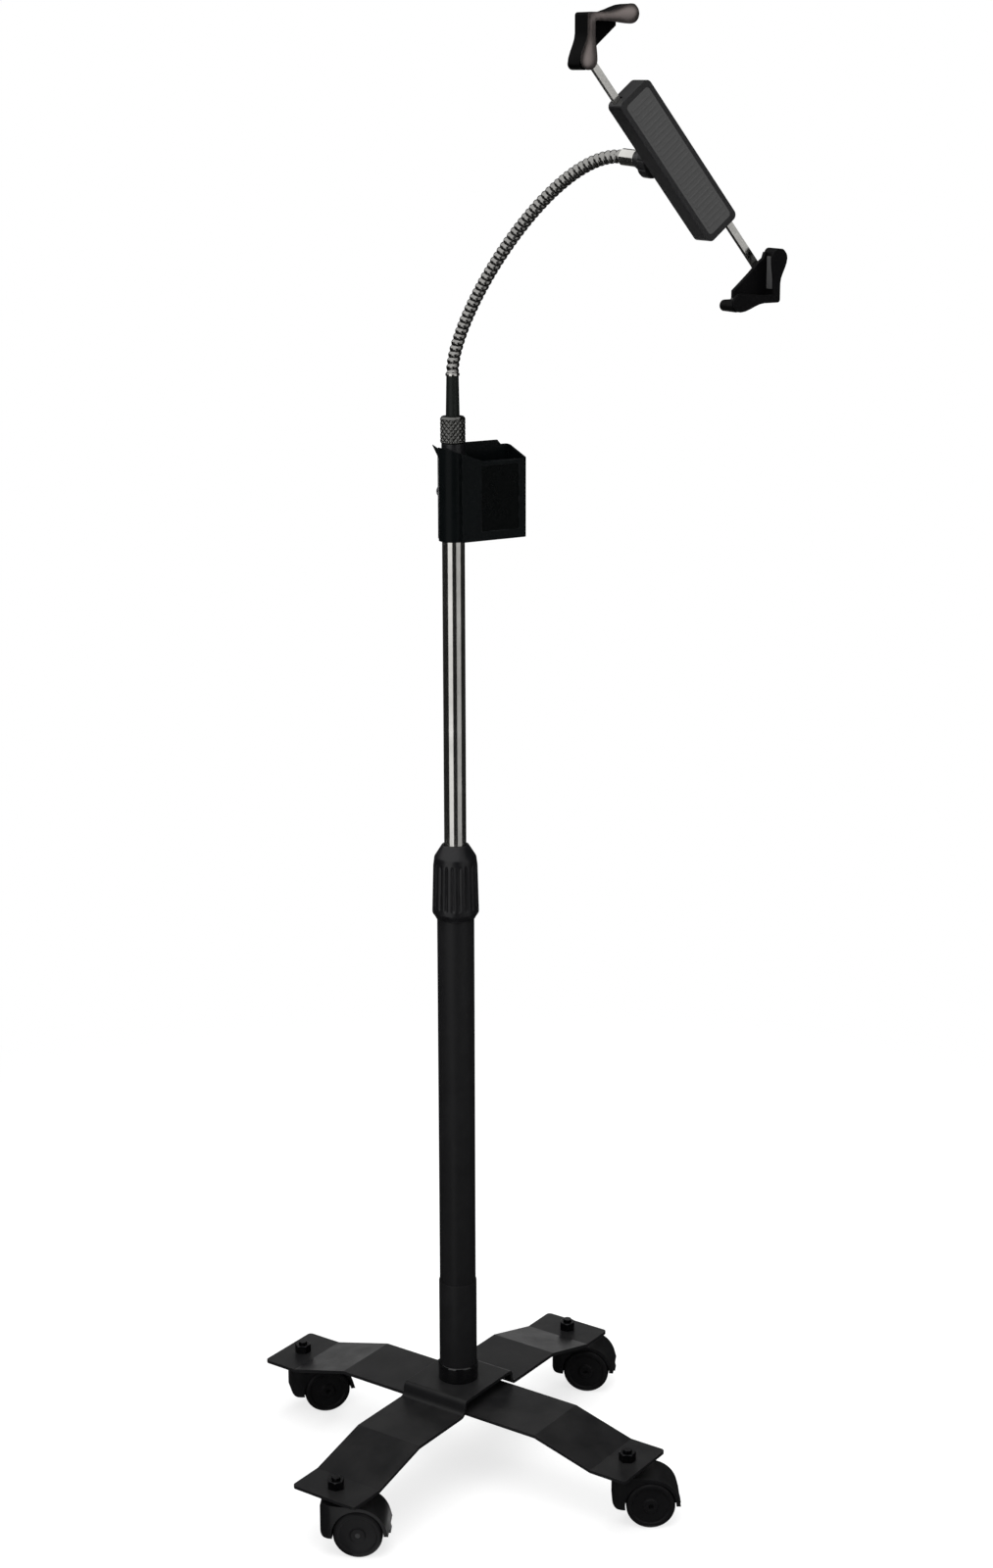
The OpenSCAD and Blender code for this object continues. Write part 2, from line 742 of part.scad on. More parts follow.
module lower_arm() {
    color("silver") on_arm() rotate(180) arm_bar();
}

// Corner grip; the corner of the tablet is the origin, x runs inward along the top, y runs up
module at_corner() {
    translate([-cradle_w / 2, cradle_h / 2, 0]) children();
}

// One prong of the grip, from the corner to its round end: the inner edge lies at y = in, and narrows by dip
function ease(t) = t * t * (3 - 2 * t);
function prong(len, in, dip) =
    let (wide = grip_out + prong_flare, r = (wide - in + dip) / 2, end = len - r, run = end - flare_from)
    concat(
        dip == 0 ? [] : [for (t = [0:0.2:0.9]) [flare_from + run * t, in - dip * ease(t)]],
        arc([end, wide - r], r, -90, 90, 12),
        [for (t = [0.8:-0.2:-0.1]) [flare_from + run * t, grip_out + prong_flare * ease(t)]]);

// Both prongs and the round corner between them
module prongs(in, dip) {
    polygon(concat(
        [[-in, in]],
        prong(prong_top, in, dip),
        arc([grip_corner - grip_out, grip_out - grip_corner], grip_corner, 90, 180, 6),
        reversed([for (q = prong(prong_side, in, dip)) [-q[1], -q[0]]])));
}

module grip() {
    low = bar_z + bar_t;
    out = grip_out;
    translate([0, 0, low]) linear_extrude(5)
        polygon([[1 - out, out - 1], [38, out - 1], [38, -7], [18, -24], [9, -33], [2, -38], [0, -44],
            [1 - out, -44]]);
    translate([0, 0, low]) linear_extrude(cradle_t - low) prongs(soft_t, 0);
    translate([0, 0, cradle_t]) linear_extrude(lip_t) prongs(-lip_in, lip_flare);
}

module grip_pads() {
    translate([pad_ends, 0, -3]) cube([prong_top - 2 * pad_ends, soft_t, cradle_t + 3]);
    translate([-soft_t, pad_ends - prong_side, -3]) cube([soft_t, prong_side - 2 * pad_ends, cradle_t + 3]);
}

module drilled_grip() {
    color("darkslategray") difference() {
        at_corner() grip();
        rotate(180 - diagonal) translate([bar_end - 6, (rack_root + rack_back) / 2, bar_z])
            cylinder(r = screw_r, h = bar_t + 4);
    }
}

module upper_grip() at_holder() drilled_grip();
module lower_grip() at_holder() rotate(180) drilled_grip();

module upper_pads() {
    color("gray") at_holder() at_corner() grip_pads();
}

module lower_pads() {
    color("gray") at_holder() rotate(180) at_corner() grip_pads();
}

module grip_screw() {
    at = [bar_end - 6, (rack_root + rack_back) / 2, bar_z];
    color("silver") translate(at) {
        translate([0, 0, -2]) cylinder(r = screw_head, h = 2);
        cylinder(r = screw_r, h = bar_t + 4);
    }
}

module upper_grip_screw() on_arm() grip_screw();
module lower_grip_screw() on_arm() rotate(180) grip_screw();

module arm_knob() {
    z0 = -case_t - gap;
    color("black") on_arm() translate([knob_u, knob_v, 0]) difference() {
        union() {
            translate([0, 0, z0 - knob_h]) cylinder(r = knob_r, h = knob_h);
            translate([0, 0, z0 - 1]) cylinder(r = knob_shaft, h = case_floor - z0 + 0.9);
        }
        for (i = [0:7])
            rotate(i * 45) translate([knob_r + 1, 0, z0 - knob_h - 1]) cylinder(r = 2.2, h = 9, $fn = 24);
    }
}

// Casters
module stem_nuts() {
    color("silver") for (k = [FR, RR, RL, FL])
        rotate(leg_dirs[k]) translate([stem_circle, 0, end_top]) difference() {
            cylinder(r = nut_af / 2 / cos(30), h = nut_h, $fn = 6);
            translate([0, 0, -1]) cylinder(r = thread_r, h = nut_h + 2);
        }
}

module caster_stems() {
    color("silver") for (k = [FR, RR, RL, FL])
        rotate(leg_dirs[k]) translate([stem_circle, 0, 0]) {
            translate([0, 0, stem_low]) cylinder(r = stem_r, h = stem_h - 2);
            translate([0, 0, caster_h - plate_t]) cylinder(r = plate_r, h = plate_t);
            translate([0, 0, caster_h - 1]) cylinder(r = thread_r, h = leg_t + thread_h + 1);
        }
}

module at_caster(k) {
    rotate(leg_dirs[k]) translate([stem_circle, 0, 0]) rotate(trail_dirs[k] - leg_dirs[k]) children();
}

// Side view of the hood: a belt over the wheel, an upright nose at the stem and a pointed tail
module hood_outline() {
    a = [trail, wheel_r];
    b = [nose_r - hood_nose, hood_top - nose_r];
    rise = atan2(b[1] - a[1], b[0] - a[0]) - acos((hood_r - nose_r) / norm(b - a));
    tail = hood_r * cos(tail_from) + (hood_r * sin(tail_from) + wheel_r - web_cut) * tan(tail_from);
    polygon(concat(
        [[trail + tail, web_cut]],
        arc(a, hood_r, tail_from, rise, 20),
        arc(b, nose_r, rise, 180, 8),
        arc([nose_low - hood_nose, web_cut + nose_low], nose_low, 180, 270, 5)));
}

// The hood from above, round at the nose
module hood_plan() {
    y = hood_w / 2 - nose_corner;
    polygon(concat(
        [[trail + 2 * hood_r, -hood_w / 2], [trail + 2 * hood_r, hood_w / 2]],
        arc([nose_corner - hood_nose, y], nose_corner, 90, 180, 8),
        arc([nose_corner - hood_nose, -y], nose_corner, 180, 270, 8)));
}

module hood() {
    color("black") difference() {
        union() {
            intersection() {
                rotate([90, 0, 0]) linear_extrude(2 * hood_w, center = true) hood_outline();
                linear_extrude(caster_h) hood_plan();
            }
            translate([0, 0, wheel_r]) cylinder(r = boss_r, h = caster_h - plate_t - gap - wheel_r);
        }
        for (s = [-1, 1]) translate([trail, 0, wheel_r]) rotate([90 * s, 0, 0])
            translate([0, 0, web_w / 2]) cylinder(r = wheel_r + wheel_room, h = hood_w);
        for (s = [-1, 1]) translate([trail, s * (hood_w + web_w) / 2 - hood_w / 2, -1])
            cube([2 * hood_r, hood_w, skirt_cut + 1]);
        translate([0, 0, stem_low - gap]) cylinder(r = stem_r + fit, h = caster_h);
        translate([trail, 0, wheel_r]) rotate([90, 0, 0])
            cylinder(r = axle_r + fit, h = 2 * hood_w, center = true);
    }
}

module wheel() {
    r = wheel_r;
    w = wheel_w;
    rotate_extrude()
        polygon([[axle_r, 0], [r - 1, 0], [r, 1.2], [r, w - 2.5], [r - 2.5, w], [r - 6, w], [r - 7, w - 1.5],
            [axle_r + 6, w - 1.5], [axle_r + 5, w + 0.5], [axle_r, w + 0.5]]);
}

module wheels() {
    color("darkslategray") translate([trail, 0, wheel_r])
        for (s = [-1, 1]) rotate([90 * s, 0, 0]) translate([0, 0, wheel_in]) wheel();
}

module axle() {
    h = 2 * (wheel_in + wheel_w) + 0.4;
    color("silver") translate([trail, 0, wheel_r]) rotate([90, 0, 0])
        cylinder(r = axle_r, h = h, center = true);
}

module hood_fr() at_caster(FR) hood();
module wheels_fr() at_caster(FR) wheels();
module axle_fr() at_caster(FR) axle();
module hood_rr() at_caster(RR) hood();
module wheels_rr() at_caster(RR) wheels();
module axle_rr() at_caster(RR) axle();
module hood_rl() at_caster(RL) hood();
module wheels_rl() at_caster(RL) wheels();
module axle_rl() at_caster(RL) axle();
module hood_fl() at_caster(FL) hood();
module wheels_fl() at_caster(FL) wheels();
module axle_fl() at_caster(FL) axle();

lower_leg_bar();
upper_leg_bar();
hub_spacer();
centre_bolt();
base_socket();
foot_ring();
lower_tube();
collar_seat();
collet_bush();
twist_collar();
stem_nuts();
caster_stems();
hood_fr();
wheels_fr();
axle_fr();
hood_rr();
wheels_rr();
axle_rr();
hood_rl();
wheels_rl();
axle_rl();
hood_fl();
wheels_fl();
axle_fl();
guide_bush();
upper_tube();
top_plug();
pocket();
pocket_screw();
neck_nut();
neck_sleeve();
neck_1();
neck_2();
neck_3();
neck_4();
neck_5();
neck_6();
neck_7();
neck_8();
neck_ferrule();
ball_cup();
lock_ring();
ball_stud();
stud_clip();
case_back();
case_front();
case_screws();
rest_pad();
pinion();
upper_arm();
lower_arm();
upper_grip();
lower_grip();
upper_pads();
lower_pads();
upper_grip_screw();
lower_grip_screw();
arm_knob();
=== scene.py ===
"""Looks of an adjustable tablet floor stand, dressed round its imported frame.

The stand is built up in sub-assemblies, each a class: the castered base, the telescopic mast with its twist
lock and pocket, the flexible neck, the ball joint and the holder with its corner grips. Sizes are in metres.
"""
from __future__ import annotations

import json
import logging
import math
from abc import ABC, abstractmethod
from dataclasses import dataclass
from enum import Enum
from typing import Any, Callable, Sequence

import bpy
from bpy.types import ID, Material, Mesh, Node, NodeOutputs, NodeSocket, NodeTree, Object
from mathutils import Matrix, Vector

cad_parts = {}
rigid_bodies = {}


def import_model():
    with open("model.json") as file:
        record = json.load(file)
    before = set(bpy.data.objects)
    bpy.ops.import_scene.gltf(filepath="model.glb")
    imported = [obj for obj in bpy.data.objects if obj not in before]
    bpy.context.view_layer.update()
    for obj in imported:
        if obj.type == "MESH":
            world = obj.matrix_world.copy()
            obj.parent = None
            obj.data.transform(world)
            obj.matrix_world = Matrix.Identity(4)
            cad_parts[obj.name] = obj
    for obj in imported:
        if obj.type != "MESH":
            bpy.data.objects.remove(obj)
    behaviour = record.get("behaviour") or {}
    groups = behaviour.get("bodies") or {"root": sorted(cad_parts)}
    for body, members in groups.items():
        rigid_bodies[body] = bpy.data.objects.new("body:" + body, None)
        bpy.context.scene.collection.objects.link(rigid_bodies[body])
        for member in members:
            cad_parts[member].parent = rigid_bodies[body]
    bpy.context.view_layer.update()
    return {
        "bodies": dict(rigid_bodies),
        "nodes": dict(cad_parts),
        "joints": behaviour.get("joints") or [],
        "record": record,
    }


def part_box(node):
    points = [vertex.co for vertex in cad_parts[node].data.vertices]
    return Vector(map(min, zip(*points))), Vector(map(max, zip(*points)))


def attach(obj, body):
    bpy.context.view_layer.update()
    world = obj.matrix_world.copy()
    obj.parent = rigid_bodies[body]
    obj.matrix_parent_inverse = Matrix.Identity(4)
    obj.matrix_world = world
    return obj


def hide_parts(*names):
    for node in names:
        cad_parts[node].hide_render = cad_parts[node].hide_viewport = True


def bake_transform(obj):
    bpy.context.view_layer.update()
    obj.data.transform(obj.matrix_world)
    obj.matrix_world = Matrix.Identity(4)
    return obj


LOG = logging.getLogger("tablet_stand")

Point = tuple[float, float, float]
Colour = tuple[float, float, float]
Outline = Sequence[tuple[float, float]]
Ring = Callable[[float], tuple[float, float]]

# Colour of the paler upward faces. Dust settles there, and this is partly painted top light.
DUST_AND_TOP_LIGHT: Colour = (0.3, 0.29, 0.27)
WHITE = (1.0, 1.0, 1.0, 1.0)
COAT_ROUGHNESS = 0.08
MOTTLE_SPREAD = 0.12
FINE_TURN = 128
PLAIN_TURN = 96
HEX_TURN = 72
UP = Vector((0.0, 0.0, 1.0))
NOTES = {"along": "FLOAT", "about": "FLOAT", "centre": "FLOAT_VECTOR"}


class Edge(Enum):
    """How far the corners of a rigid piece are rounded over, and in how many cuts."""

    CRISP = (0.00025, 2)
    EASED = (0.0006, 2)
    SOFT = (0.0011, 2)
    FULL = (0.0011, 3)
    ROUND = (0.0016, 4)


class Socket(Enum):
    """Kinds of sockets that node groups have."""

    FLOAT = "NodeSocketFloat"
    INT = "NodeSocketInt"
    VECTOR = "NodeSocketVector"
    GEOMETRY = "NodeSocketGeometry"
    MATERIAL = "NodeSocketMaterial"


class Bench:
    """Adds nodes to a node tree and wires them up."""

    def __init__(self, tree: NodeTree) -> None:
        """Keep the tree that is worked on."""
        self.tree = tree

    def add(self, kind: str, values: dict[int | str, Any] | None = None, **settings: Any) -> Node:
        """Add one node.

        Args:
            kind: Blender's identifier of the node.
            values: Input names or positions with a number to set or an output socket to wire in.
            settings: Properties of the node itself.

        Returns:
            The new node.
        """
        node = self.tree.nodes.new(kind)
        for name, value in settings.items():
            setattr(node, name, value)
        for key, value in (values or {}).items():
            if isinstance(value, NodeSocket):
                self.tree.links.new(value, node.inputs[key])
            else:
                node.inputs[key].default_value = value
        return node

    def first(self, kind: str, values: dict[int | str, Any] | None = None, **settings: Any) -> NodeSocket:
        """Add one node, as add does, and give its first output."""
        return self.add(kind, values, **settings).outputs[0]

    def math(self, operation: str, *terms: Any) -> NodeSocket:
        """Add a sum of numbers or sockets and give its result."""
        return self.first("ShaderNodeMath", dict(enumerate(terms)), operation=operation)

    def vector(self, operation: str, *terms: Any) -> NodeOutputs:
        """Add an operation on vectors and give its outputs, Vector and Value."""
        return self.add("ShaderNodeVectorMath", dict(enumerate(terms)), operation=operation).outputs

    def scale(self, vector: NodeSocket, factor: Any) -> NodeSocket:
        """Multiply a vector by a number or socket."""
        return self.first("ShaderNodeVectorMath", {0: vector, "Scale": factor}, operation="SCALE")

    def split(self, vector: NodeSocket) -> NodeOutputs:
        """Take a vector apart into its X, Y and Z sockets."""
        return self.add("ShaderNodeSeparateXYZ", {0: vector}).outputs

    def join(self, x: Any = 0.0, y: Any = 0.0, z: Any = 0.0) -> NodeSocket:
        """Make a vector of three numbers or sockets."""
        return self.first("ShaderNodeCombineXYZ", {0: x, 1: y, 2: z})

    def here(self) -> NodeSocket:
        """Give the socket of the place on the piece, in its own coordinates."""
        return self.add("ShaderNodeTexCoord").outputs["Object"]

    def ramp(self, value: NodeSocket, start: Any, end: Any, **settings: Any) -> NodeSocket:
        """Spread the values from a start to an end over 0 to 1."""
        spread = {"Value": value, "From Min": start, "From Max": end}
        return self.first("ShaderNodeMapRange", spread, **settings)

    def noise(self, place: NodeSocket, scale: Any, detail: float, roughness: float = 0.5) -> NodeSocket:
        """Add a cloudy pattern, with the number and strength of its finer layers."""
        return self.first("ShaderNodeTexNoise", {"Vector": place, "Scale": scale, "Detail": detail,
                                                 "Roughness": roughness})

    def effect(self, tree: NodeTree, **values: Any) -> NodeOutputs:
        """Place a shared shader group, its inputs by name, and give its outputs."""
        return self.add("ShaderNodeGroup", dict(values), node_tree=tree).outputs

    def blend(self, share: NodeSocket, below: Any, above: Any) -> NodeSocket:
        """Mix two colours, or sockets of colours, by the socket of a mask."""
        below, above = (side if isinstance(side, NodeSocket) else (*side, 1.0) for side in (below, above))
        return self.add("ShaderNodeMix", {0: share, 6: below, 7: above}, data_type="RGBA").outputs[2]

    def direct(self) -> NodeSocket:
        """Tell rays from the camera, also by way of metal and glass, from those that only light."""
        seen = self.add("ShaderNodeLightPath").outputs
        return self.math("MAXIMUM", seen["Is Camera Ray"],
                         self.math("MAXIMUM", seen["Is Glossy Ray"], seen["Is Transmission Ray"]))


class Group(Bench):
    """A node group with named sockets."""

    def __init__(self, name: str, kind: str, inputs: dict[str, float | Socket], **outputs: Socket) -> None:
        """Start the group.

        Args:
            name: Name of the group.
            kind: ShaderNodeTree or GeometryNodeTree.
            inputs: First value of each number, or the kind of any other input.
            outputs: Kind of each output.
        """
        super().__init__(bpy.data.node_groups.new(name, kind))
        sockets = self.tree.interface
        for label, first in inputs.items():
            if isinstance(first, Socket):
                sockets.new_socket(name=label, in_out="INPUT", socket_type=first.value)
            else:
                sort = Socket.INT if isinstance(first, int) else Socket.FLOAT
                made = sockets.new_socket(name=label, in_out="INPUT", socket_type=sort.value)
                made.default_value = first
        for label, sort in outputs.items():
            sockets.new_socket(name=label, in_out="OUTPUT", socket_type=sort.value)
        self.given = self.add("NodeGroupInput").outputs
        self._result = self.add("NodeGroupOutput").inputs

    def put(self, **results: NodeSocket) -> NodeTree:
        """Wire up the group's outputs.

        Args:
            results: Socket for each output by name.

        Returns:
            The finished tree.
        """
        for label, socket in results.items():
            self.tree.links.new(socket, self._result[label])
        return self.tree

    def put_real(self, shape: NodeSocket) -> NodeTree:
        """End a tree in real geometry with the material that it is given.

        Args:
            shape: Socket of the finished shape.

        Returns:
            The finished tree.
        """
        real = self.first("GeometryNodeRealizeInstances", {0: shape})
        skin = {"Geometry": real, "Material": self.given["Material"]}
        return self.put(Geometry=self.first("GeometryNodeSetMaterial", skin))


class SurfaceEffects:
    """Shader node groups that several finishes share, each built once."""

    def __init__(self) -> None:
        """Build the groups."""
        self.grain = self._grain()
        self.wear_and_highlight = self._wear()
        self.dust_and_top_light = self._dust()
        self.lines = self._lines()
        # Mask for painted light on the front of a piece, a painted lit front.
        self.front = self._front()
        self.sunk_panel_tone = self._inlay()

    @staticmethod
    def _grain() -> NodeTree:
        """Build the fine skin of a coat or moulding, with a slow mottle over it.

        Returns:
            The group.
        """
        group = Group("skin_grain", "ShaderNodeTree", {"Scale": 900.0, "Mottle Scale": 35.0},
                      Height=Socket.FLOAT, Mottle=Socket.FLOAT)
        place = group.here()
        fine = group.noise(place, group.given["Scale"], 3.0, 0.6)
        slow = group.noise(place, group.given["Mottle Scale"], 5.0, 0.62)
        return group.put(Height=fine, Mottle=group.ramp(slow, 0.3, 0.7))

    @staticmethod
    def _wear() -> NodeTree:
        """Build the mask of rubbed edges, broken up by noise, which is partly a painted highlight.

        Returns:
            The group.
        """
        group = Group("edge_wear", "ShaderNodeTree", {"Radius": 0.0008, "Amount": 0.4}, Mask=Socket.FLOAT)
        rounded = group.first("ShaderNodeBevel", {"Radius": group.given["Radius"]}, samples=4)
        true = group.add("ShaderNodeNewGeometry").outputs["True Normal"]
        along = group.vector("DOT_PRODUCT", rounded, true)["Value"]
        edge = group.ramp(along, 0.99, 0.86)
        patchy = group.ramp(group.noise(group.here(), 140.0, 4.0), 0.42, 0.66)
        mask = group.math("MULTIPLY", edge, patchy)
        return group.put(Mask=group.math("MULTIPLY", mask, group.given["Amount"]))

    @staticmethod
    def _dust() -> NodeTree:
        """Build the mask of faces that look up. Dust settles there, and the mask is partly painted top light.

        Returns:
            The group.
        """
        group = Group("settled_dust", "ShaderNodeTree", {"Amount": 0.2}, Mask=Socket.FLOAT)
        normal = group.add("ShaderNodeNewGeometry").outputs["Normal"]
        level = group.ramp(group.split(normal)["Z"], 0.35, 1.0)
        drift = group.ramp(group.noise(group.here(), 18.0, 6.0, 0.7), 0.35, 0.75)
        mask = group.math("MULTIPLY", level, drift)
        return group.put(Mask=group.math("MULTIPLY", mask, group.given["Amount"]))

    @staticmethod
    def _lines() -> NodeTree:
        """Build faint drawn lines that run along the upright axis.

        Returns:
            The group.
        """
        group = Group("drawn_lines", "ShaderNodeTree", {"Scale": 1500.0}, Lines=Socket.FLOAT)
        long = group.first("ShaderNodeMapping", {"Vector": group.here(), "Scale": (1.0, 1.0, 0.012)})
        return group.put(Lines=group.noise(long, group.given["Scale"], 2.0))

    @staticmethod
    def _front() -> NodeTree:
        """Build the mask of painted light on what faces the user in front of a plane, fading towards its
        edges.

        Returns:
            The group.
        """
        group = Group("facing_front", "ShaderNodeTree", {"Plane": 0.0, "Rim": 0.012}, Mask=Socket.FLOAT)
        rounded = group.first("ShaderNodeBevel", {"Radius": group.given["Rim"]}, samples=8)
        own = group.first("ShaderNodeVectorTransform", {0: rounded}, vector_type="NORMAL",
                          convert_from="WORLD", convert_to="OBJECT")
        ahead = group.math("MULTIPLY", group.split(own)["Y"], -1.0)
        face = group.ramp(ahead, 0.8, 1.0)
        before = group.math("LESS_THAN", group.split(group.here())["Y"], group.given["Plane"])
        return group.put(Mask=group.math("MULTIPLY", face, before))

    @staticmethod
    def _inlay() -> NodeTree:
        """Build the mask of a sunk panel: what lies past a plane across and just behind a plane in front.

        Returns:
            The group.
        """
        group = Group("sunk_panel", "ShaderNodeTree", {"Across": 0.0, "Behind": 0.0, "Depth": 0.001},
                      Mask=Socket.FLOAT)
        x, y, _ = group.split(group.here())
        past = group.math("GREATER_THAN", x, group.given["Across"])
        deep = group.math("SUBTRACT", y, group.given["Behind"])
        within = group.math("MULTIPLY", group.math("GREATER_THAN", deep, 0.0),
                            group.math("LESS_THAN", deep, group.given["Depth"]))
        return group.put(Mask=group.math("MULTIPLY", past, within))


def blank_material(name: str) -> tuple[Material, Bench]:
    """Start a material with no nodes.

    Args:
        name: Name of the material.

    Returns:
        The material and the bench of its tree.
    """
    made = bpy.data.materials.new(name)
    made.use_nodes = True
    made.node_tree.nodes.clear()
    return made, Bench(made.node_tree)


@dataclass(frozen=True)
class Finish:
    """One surface finish.

    Attributes:
        name: Name of the material.
        slot: The record's slot that it stands for; not used.
        colour: Main colour, linear.
        gloss: Roughness of the smoothest and of the dullest spots.
        grain: Grains a metre of the skin, and the height of its bump.
        metal: 1 for bare or plated metal.
        worn_and_lit_edges: Share and colour of rubbed edges, partly real rubbing and partly a painted
            highlight, if any.
        dust_and_top_light: Share of a paler mask on upward faces. Dust settles there; it is partly painted
            top light.
        lines: Height of the drawn lines.
        level: Specular level.
        coat: Weight of a clear gloss coat.
        front: Plane and colour of painted light on what faces the user in front of it, a painted lit front.
        panel: Where a sunk panel starts across and behind, and the darker colour that it gets, if there is
            one.
    """

    name: str
    slot: str
    colour: Colour
    gloss: tuple[float, float]
    grain: tuple[float, float]
    metal: float = 0.0
    worn_and_lit_edges: tuple[float, Colour] | None = None
    dust_and_top_light: float = 0.0
    lines: float = 0.0
    level: float = 0.5
    coat: float = 0.0
    front: tuple[float, Colour] | None = None
    panel: tuple[float, float, Colour] | None = None

    def material(self, effects: SurfaceEffects) -> Material:
        """Build the material, or find it if it is built already.

        Args:
            effects: The shared node groups.

        Returns:
            The material.
        """
        known = bpy.data.materials.get(self.name)
        if known is not None:
            return known
        made, bench = blank_material(self.name)
        made.diffuse_color = (*self.colour, 1.0)
        grain = bench.effect(effects.grain, Scale=self.grain[0])
        colour = self._shaded(bench, effects, grain["Mottle"])
        fine, dull = self.gloss
        rough = bench.first("ShaderNodeMapRange", {"Value": grain["Mottle"], "To Min": fine, "To Max": dull})
        bump = bench.first("ShaderNodeBump", {"Strength": 1.0, "Distance": self.grain[1],
                                              "Height": grain["Height"]})
        if self.lines > 0.0:
            bump = bench.first("ShaderNodeBump", {
                "Strength": 1.0, "Distance": self.lines, "Height": bench.effect(effects.lines)["Lines"],
                "Normal": bump})
        shader = bench.first("ShaderNodeBsdfPrincipled", {
            "Base Color": colour, "Metallic": self.metal, "Roughness": rough, "Normal": bump,
            "Specular IOR Level": self.level, "Coat Weight": self.coat, "Coat Roughness": COAT_ROUGHNESS})
        bench.add("ShaderNodeOutputMaterial", {"Surface": shader})
        return made

    def _shaded(self, bench: Bench, effects: SurfaceEffects, mottle: NodeSocket) -> NodeSocket:
        """Wire the colour's variation, sunk panel, painted lit front, rubbed edges and what settles on top.
        The edges are partly a painted highlight. Dust settles on top, which is partly painted top light.

        Args:
            bench: Bench of the material.
            effects: The shared node groups.
            mottle: Socket of the slow variation.

        Returns:
            The socket of the colour.
        """
        low = tuple((1.0 - MOTTLE_SPREAD) * c for c in self.colour)
        high = tuple(min(1.0, (1.0 + MOTTLE_SPREAD) * c) for c in self.colour)
        colour = bench.blend(mottle, low, high)
        # Painted light: a paler colour on faces towards the user, a painted lit front.
        if self.front is not None:
            plane, shade = self.front
            colour = bench.blend(bench.effect(effects.front, Plane=plane)["Mask"], colour, shade)
        # The sunk panel gets a darker colour.
        if self.panel is not None:
            across, behind, shade = self.panel
            sunk = bench.effect(effects.sunk_panel_tone, Across=across, Behind=behind)
            colour = bench.blend(sunk["Mask"], colour, shade)
        # Lighter rubbed edges: partly real rubbing and partly a painted highlight along them.
        if self.worn_and_lit_edges is not None:
            amount, shade = self.worn_and_lit_edges
            colour = bench.blend(bench.effect(effects.wear_and_highlight, Amount=amount)["Mask"], colour, shade)
        # Upward faces get paler. Dust settles there, and this is partly painted top light.
        if self.dust_and_top_light > 0.0:
            colour = bench.blend(bench.effect(effects.dust_and_top_light, Amount=self.dust_and_top_light)["Mask"], colour, DUST_AND_TOP_LIGHT)
        return colour


# Dust on the legs' upward faces is partly painted top light.
POWDER_COAT = Finish("satin_powder_coat", "black_steel", (0.0076, 0.0076, 0.0081), gloss=(0.34, 0.46),
                     grain=(1200.0, 0.000012), worn_and_lit_edges=(0.3, (0.07, 0.07, 0.072)), dust_and_top_light=0.03, level=0.15)
FOOT_GLOSS = Finish("gloss_foot_ring", "gloss_black", (0.0022, 0.0022, 0.0025), gloss=(0.06, 0.1),
                    grain=(260.0, 0.000001), coat=0.4)
COLLAR_SKIN = Finish("matte_collar_skin", "collar_black", (0.0045, 0.0045, 0.0052), gloss=(0.3, 0.42),
                     grain=(2100.0, 0.000012), worn_and_lit_edges=(0.3, (0.08, 0.08, 0.083)), level=0.42)
NYLON = Finish("natural_nylon", "nylon", (0.62, 0.6, 0.54), gloss=(0.38, 0.5), grain=(600.0, 0.00001))
ZINC = Finish("zinc_plate", "zinc_steel", (0.46, 0.46, 0.48), metal=1.0, gloss=(0.26, 0.4),
              grain=(900.0, 0.000006))
DULL_ZINC = Finish("dulled_zinc_plate", "zinc_steel", (0.045, 0.045, 0.046), metal=1.0, gloss=(0.34, 0.48),
                   grain=(900.0, 0.000008))
BLACK_ZINC = Finish("black_zinc_plate", "black_zinc", (0.03, 0.03, 0.032), metal=1.0, gloss=(0.28, 0.42),
                    grain=(900.0, 0.000008), worn_and_lit_edges=(0.4, (0.14, 0.14, 0.145)))
HOOD_SKIN = Finish("moulded_hood", "caster_black", (0.0046, 0.0046, 0.005), gloss=(0.32, 0.46),
                   grain=(1500.0, 0.000014), worn_and_lit_edges=(0.2, (0.05, 0.05, 0.052)), dust_and_top_light=0.02, level=0.28)
WHEEL_SKIN = Finish("wheel_nylon", "wheel_black", (0.0048, 0.0047, 0.0051), gloss=(0.42, 0.58),
                    grain=(1100.0, 0.000014), worn_and_lit_edges=(0.2, (0.05, 0.05, 0.052)), level=0.15)
POLISHED = Finish("polished_tube_steel", "polished_tube", (0.66, 0.65, 0.62), metal=1.0, gloss=(0.09, 0.15),
                  grain=(400.0, 0.000001), lines=0.0000012)
NICKEL = Finish("dark_nickel_plate", "polished_tube", (0.14, 0.14, 0.134), metal=1.0, gloss=(0.14, 0.24),
                grain=(800.0, 0.000004))
# The pocket's lighter rubbed edges are partly rubbing and partly a painted highlight along its rim.
POCKET_SKIN = Finish("moulded_pocket", "pocket_black", (0.0022, 0.0029, 0.0031), gloss=(0.2, 0.32),
                     grain=(1300.0, 0.000012), worn_and_lit_edges=(0.5, (0.045, 0.045, 0.048)), level=0.06,
                     panel=(0.0242, -0.0196, (0.0005, 0.0009, 0.0009)))
SLEEVE_RUBBER = Finish("neck_sleeve_rubber", "sleeve_black", (0.0052, 0.0064, 0.0057), gloss=(0.34, 0.46),
                       grain=(1600.0, 0.00001), level=0.2)
WOUND_STEEL = Finish("wound_neck_steel", "wound_steel", (0.33, 0.325, 0.312), metal=1.0, gloss=(0.18, 0.26),
                     grain=(700.0, 0.000004))
CASE_SKIN = Finish("moulded_case", "holder_black", (0.0085, 0.0085, 0.009), gloss=(0.34, 0.48),
                   grain=(1500.0, 0.000016), worn_and_lit_edges=(0.25, (0.06, 0.06, 0.062)), level=0.35)
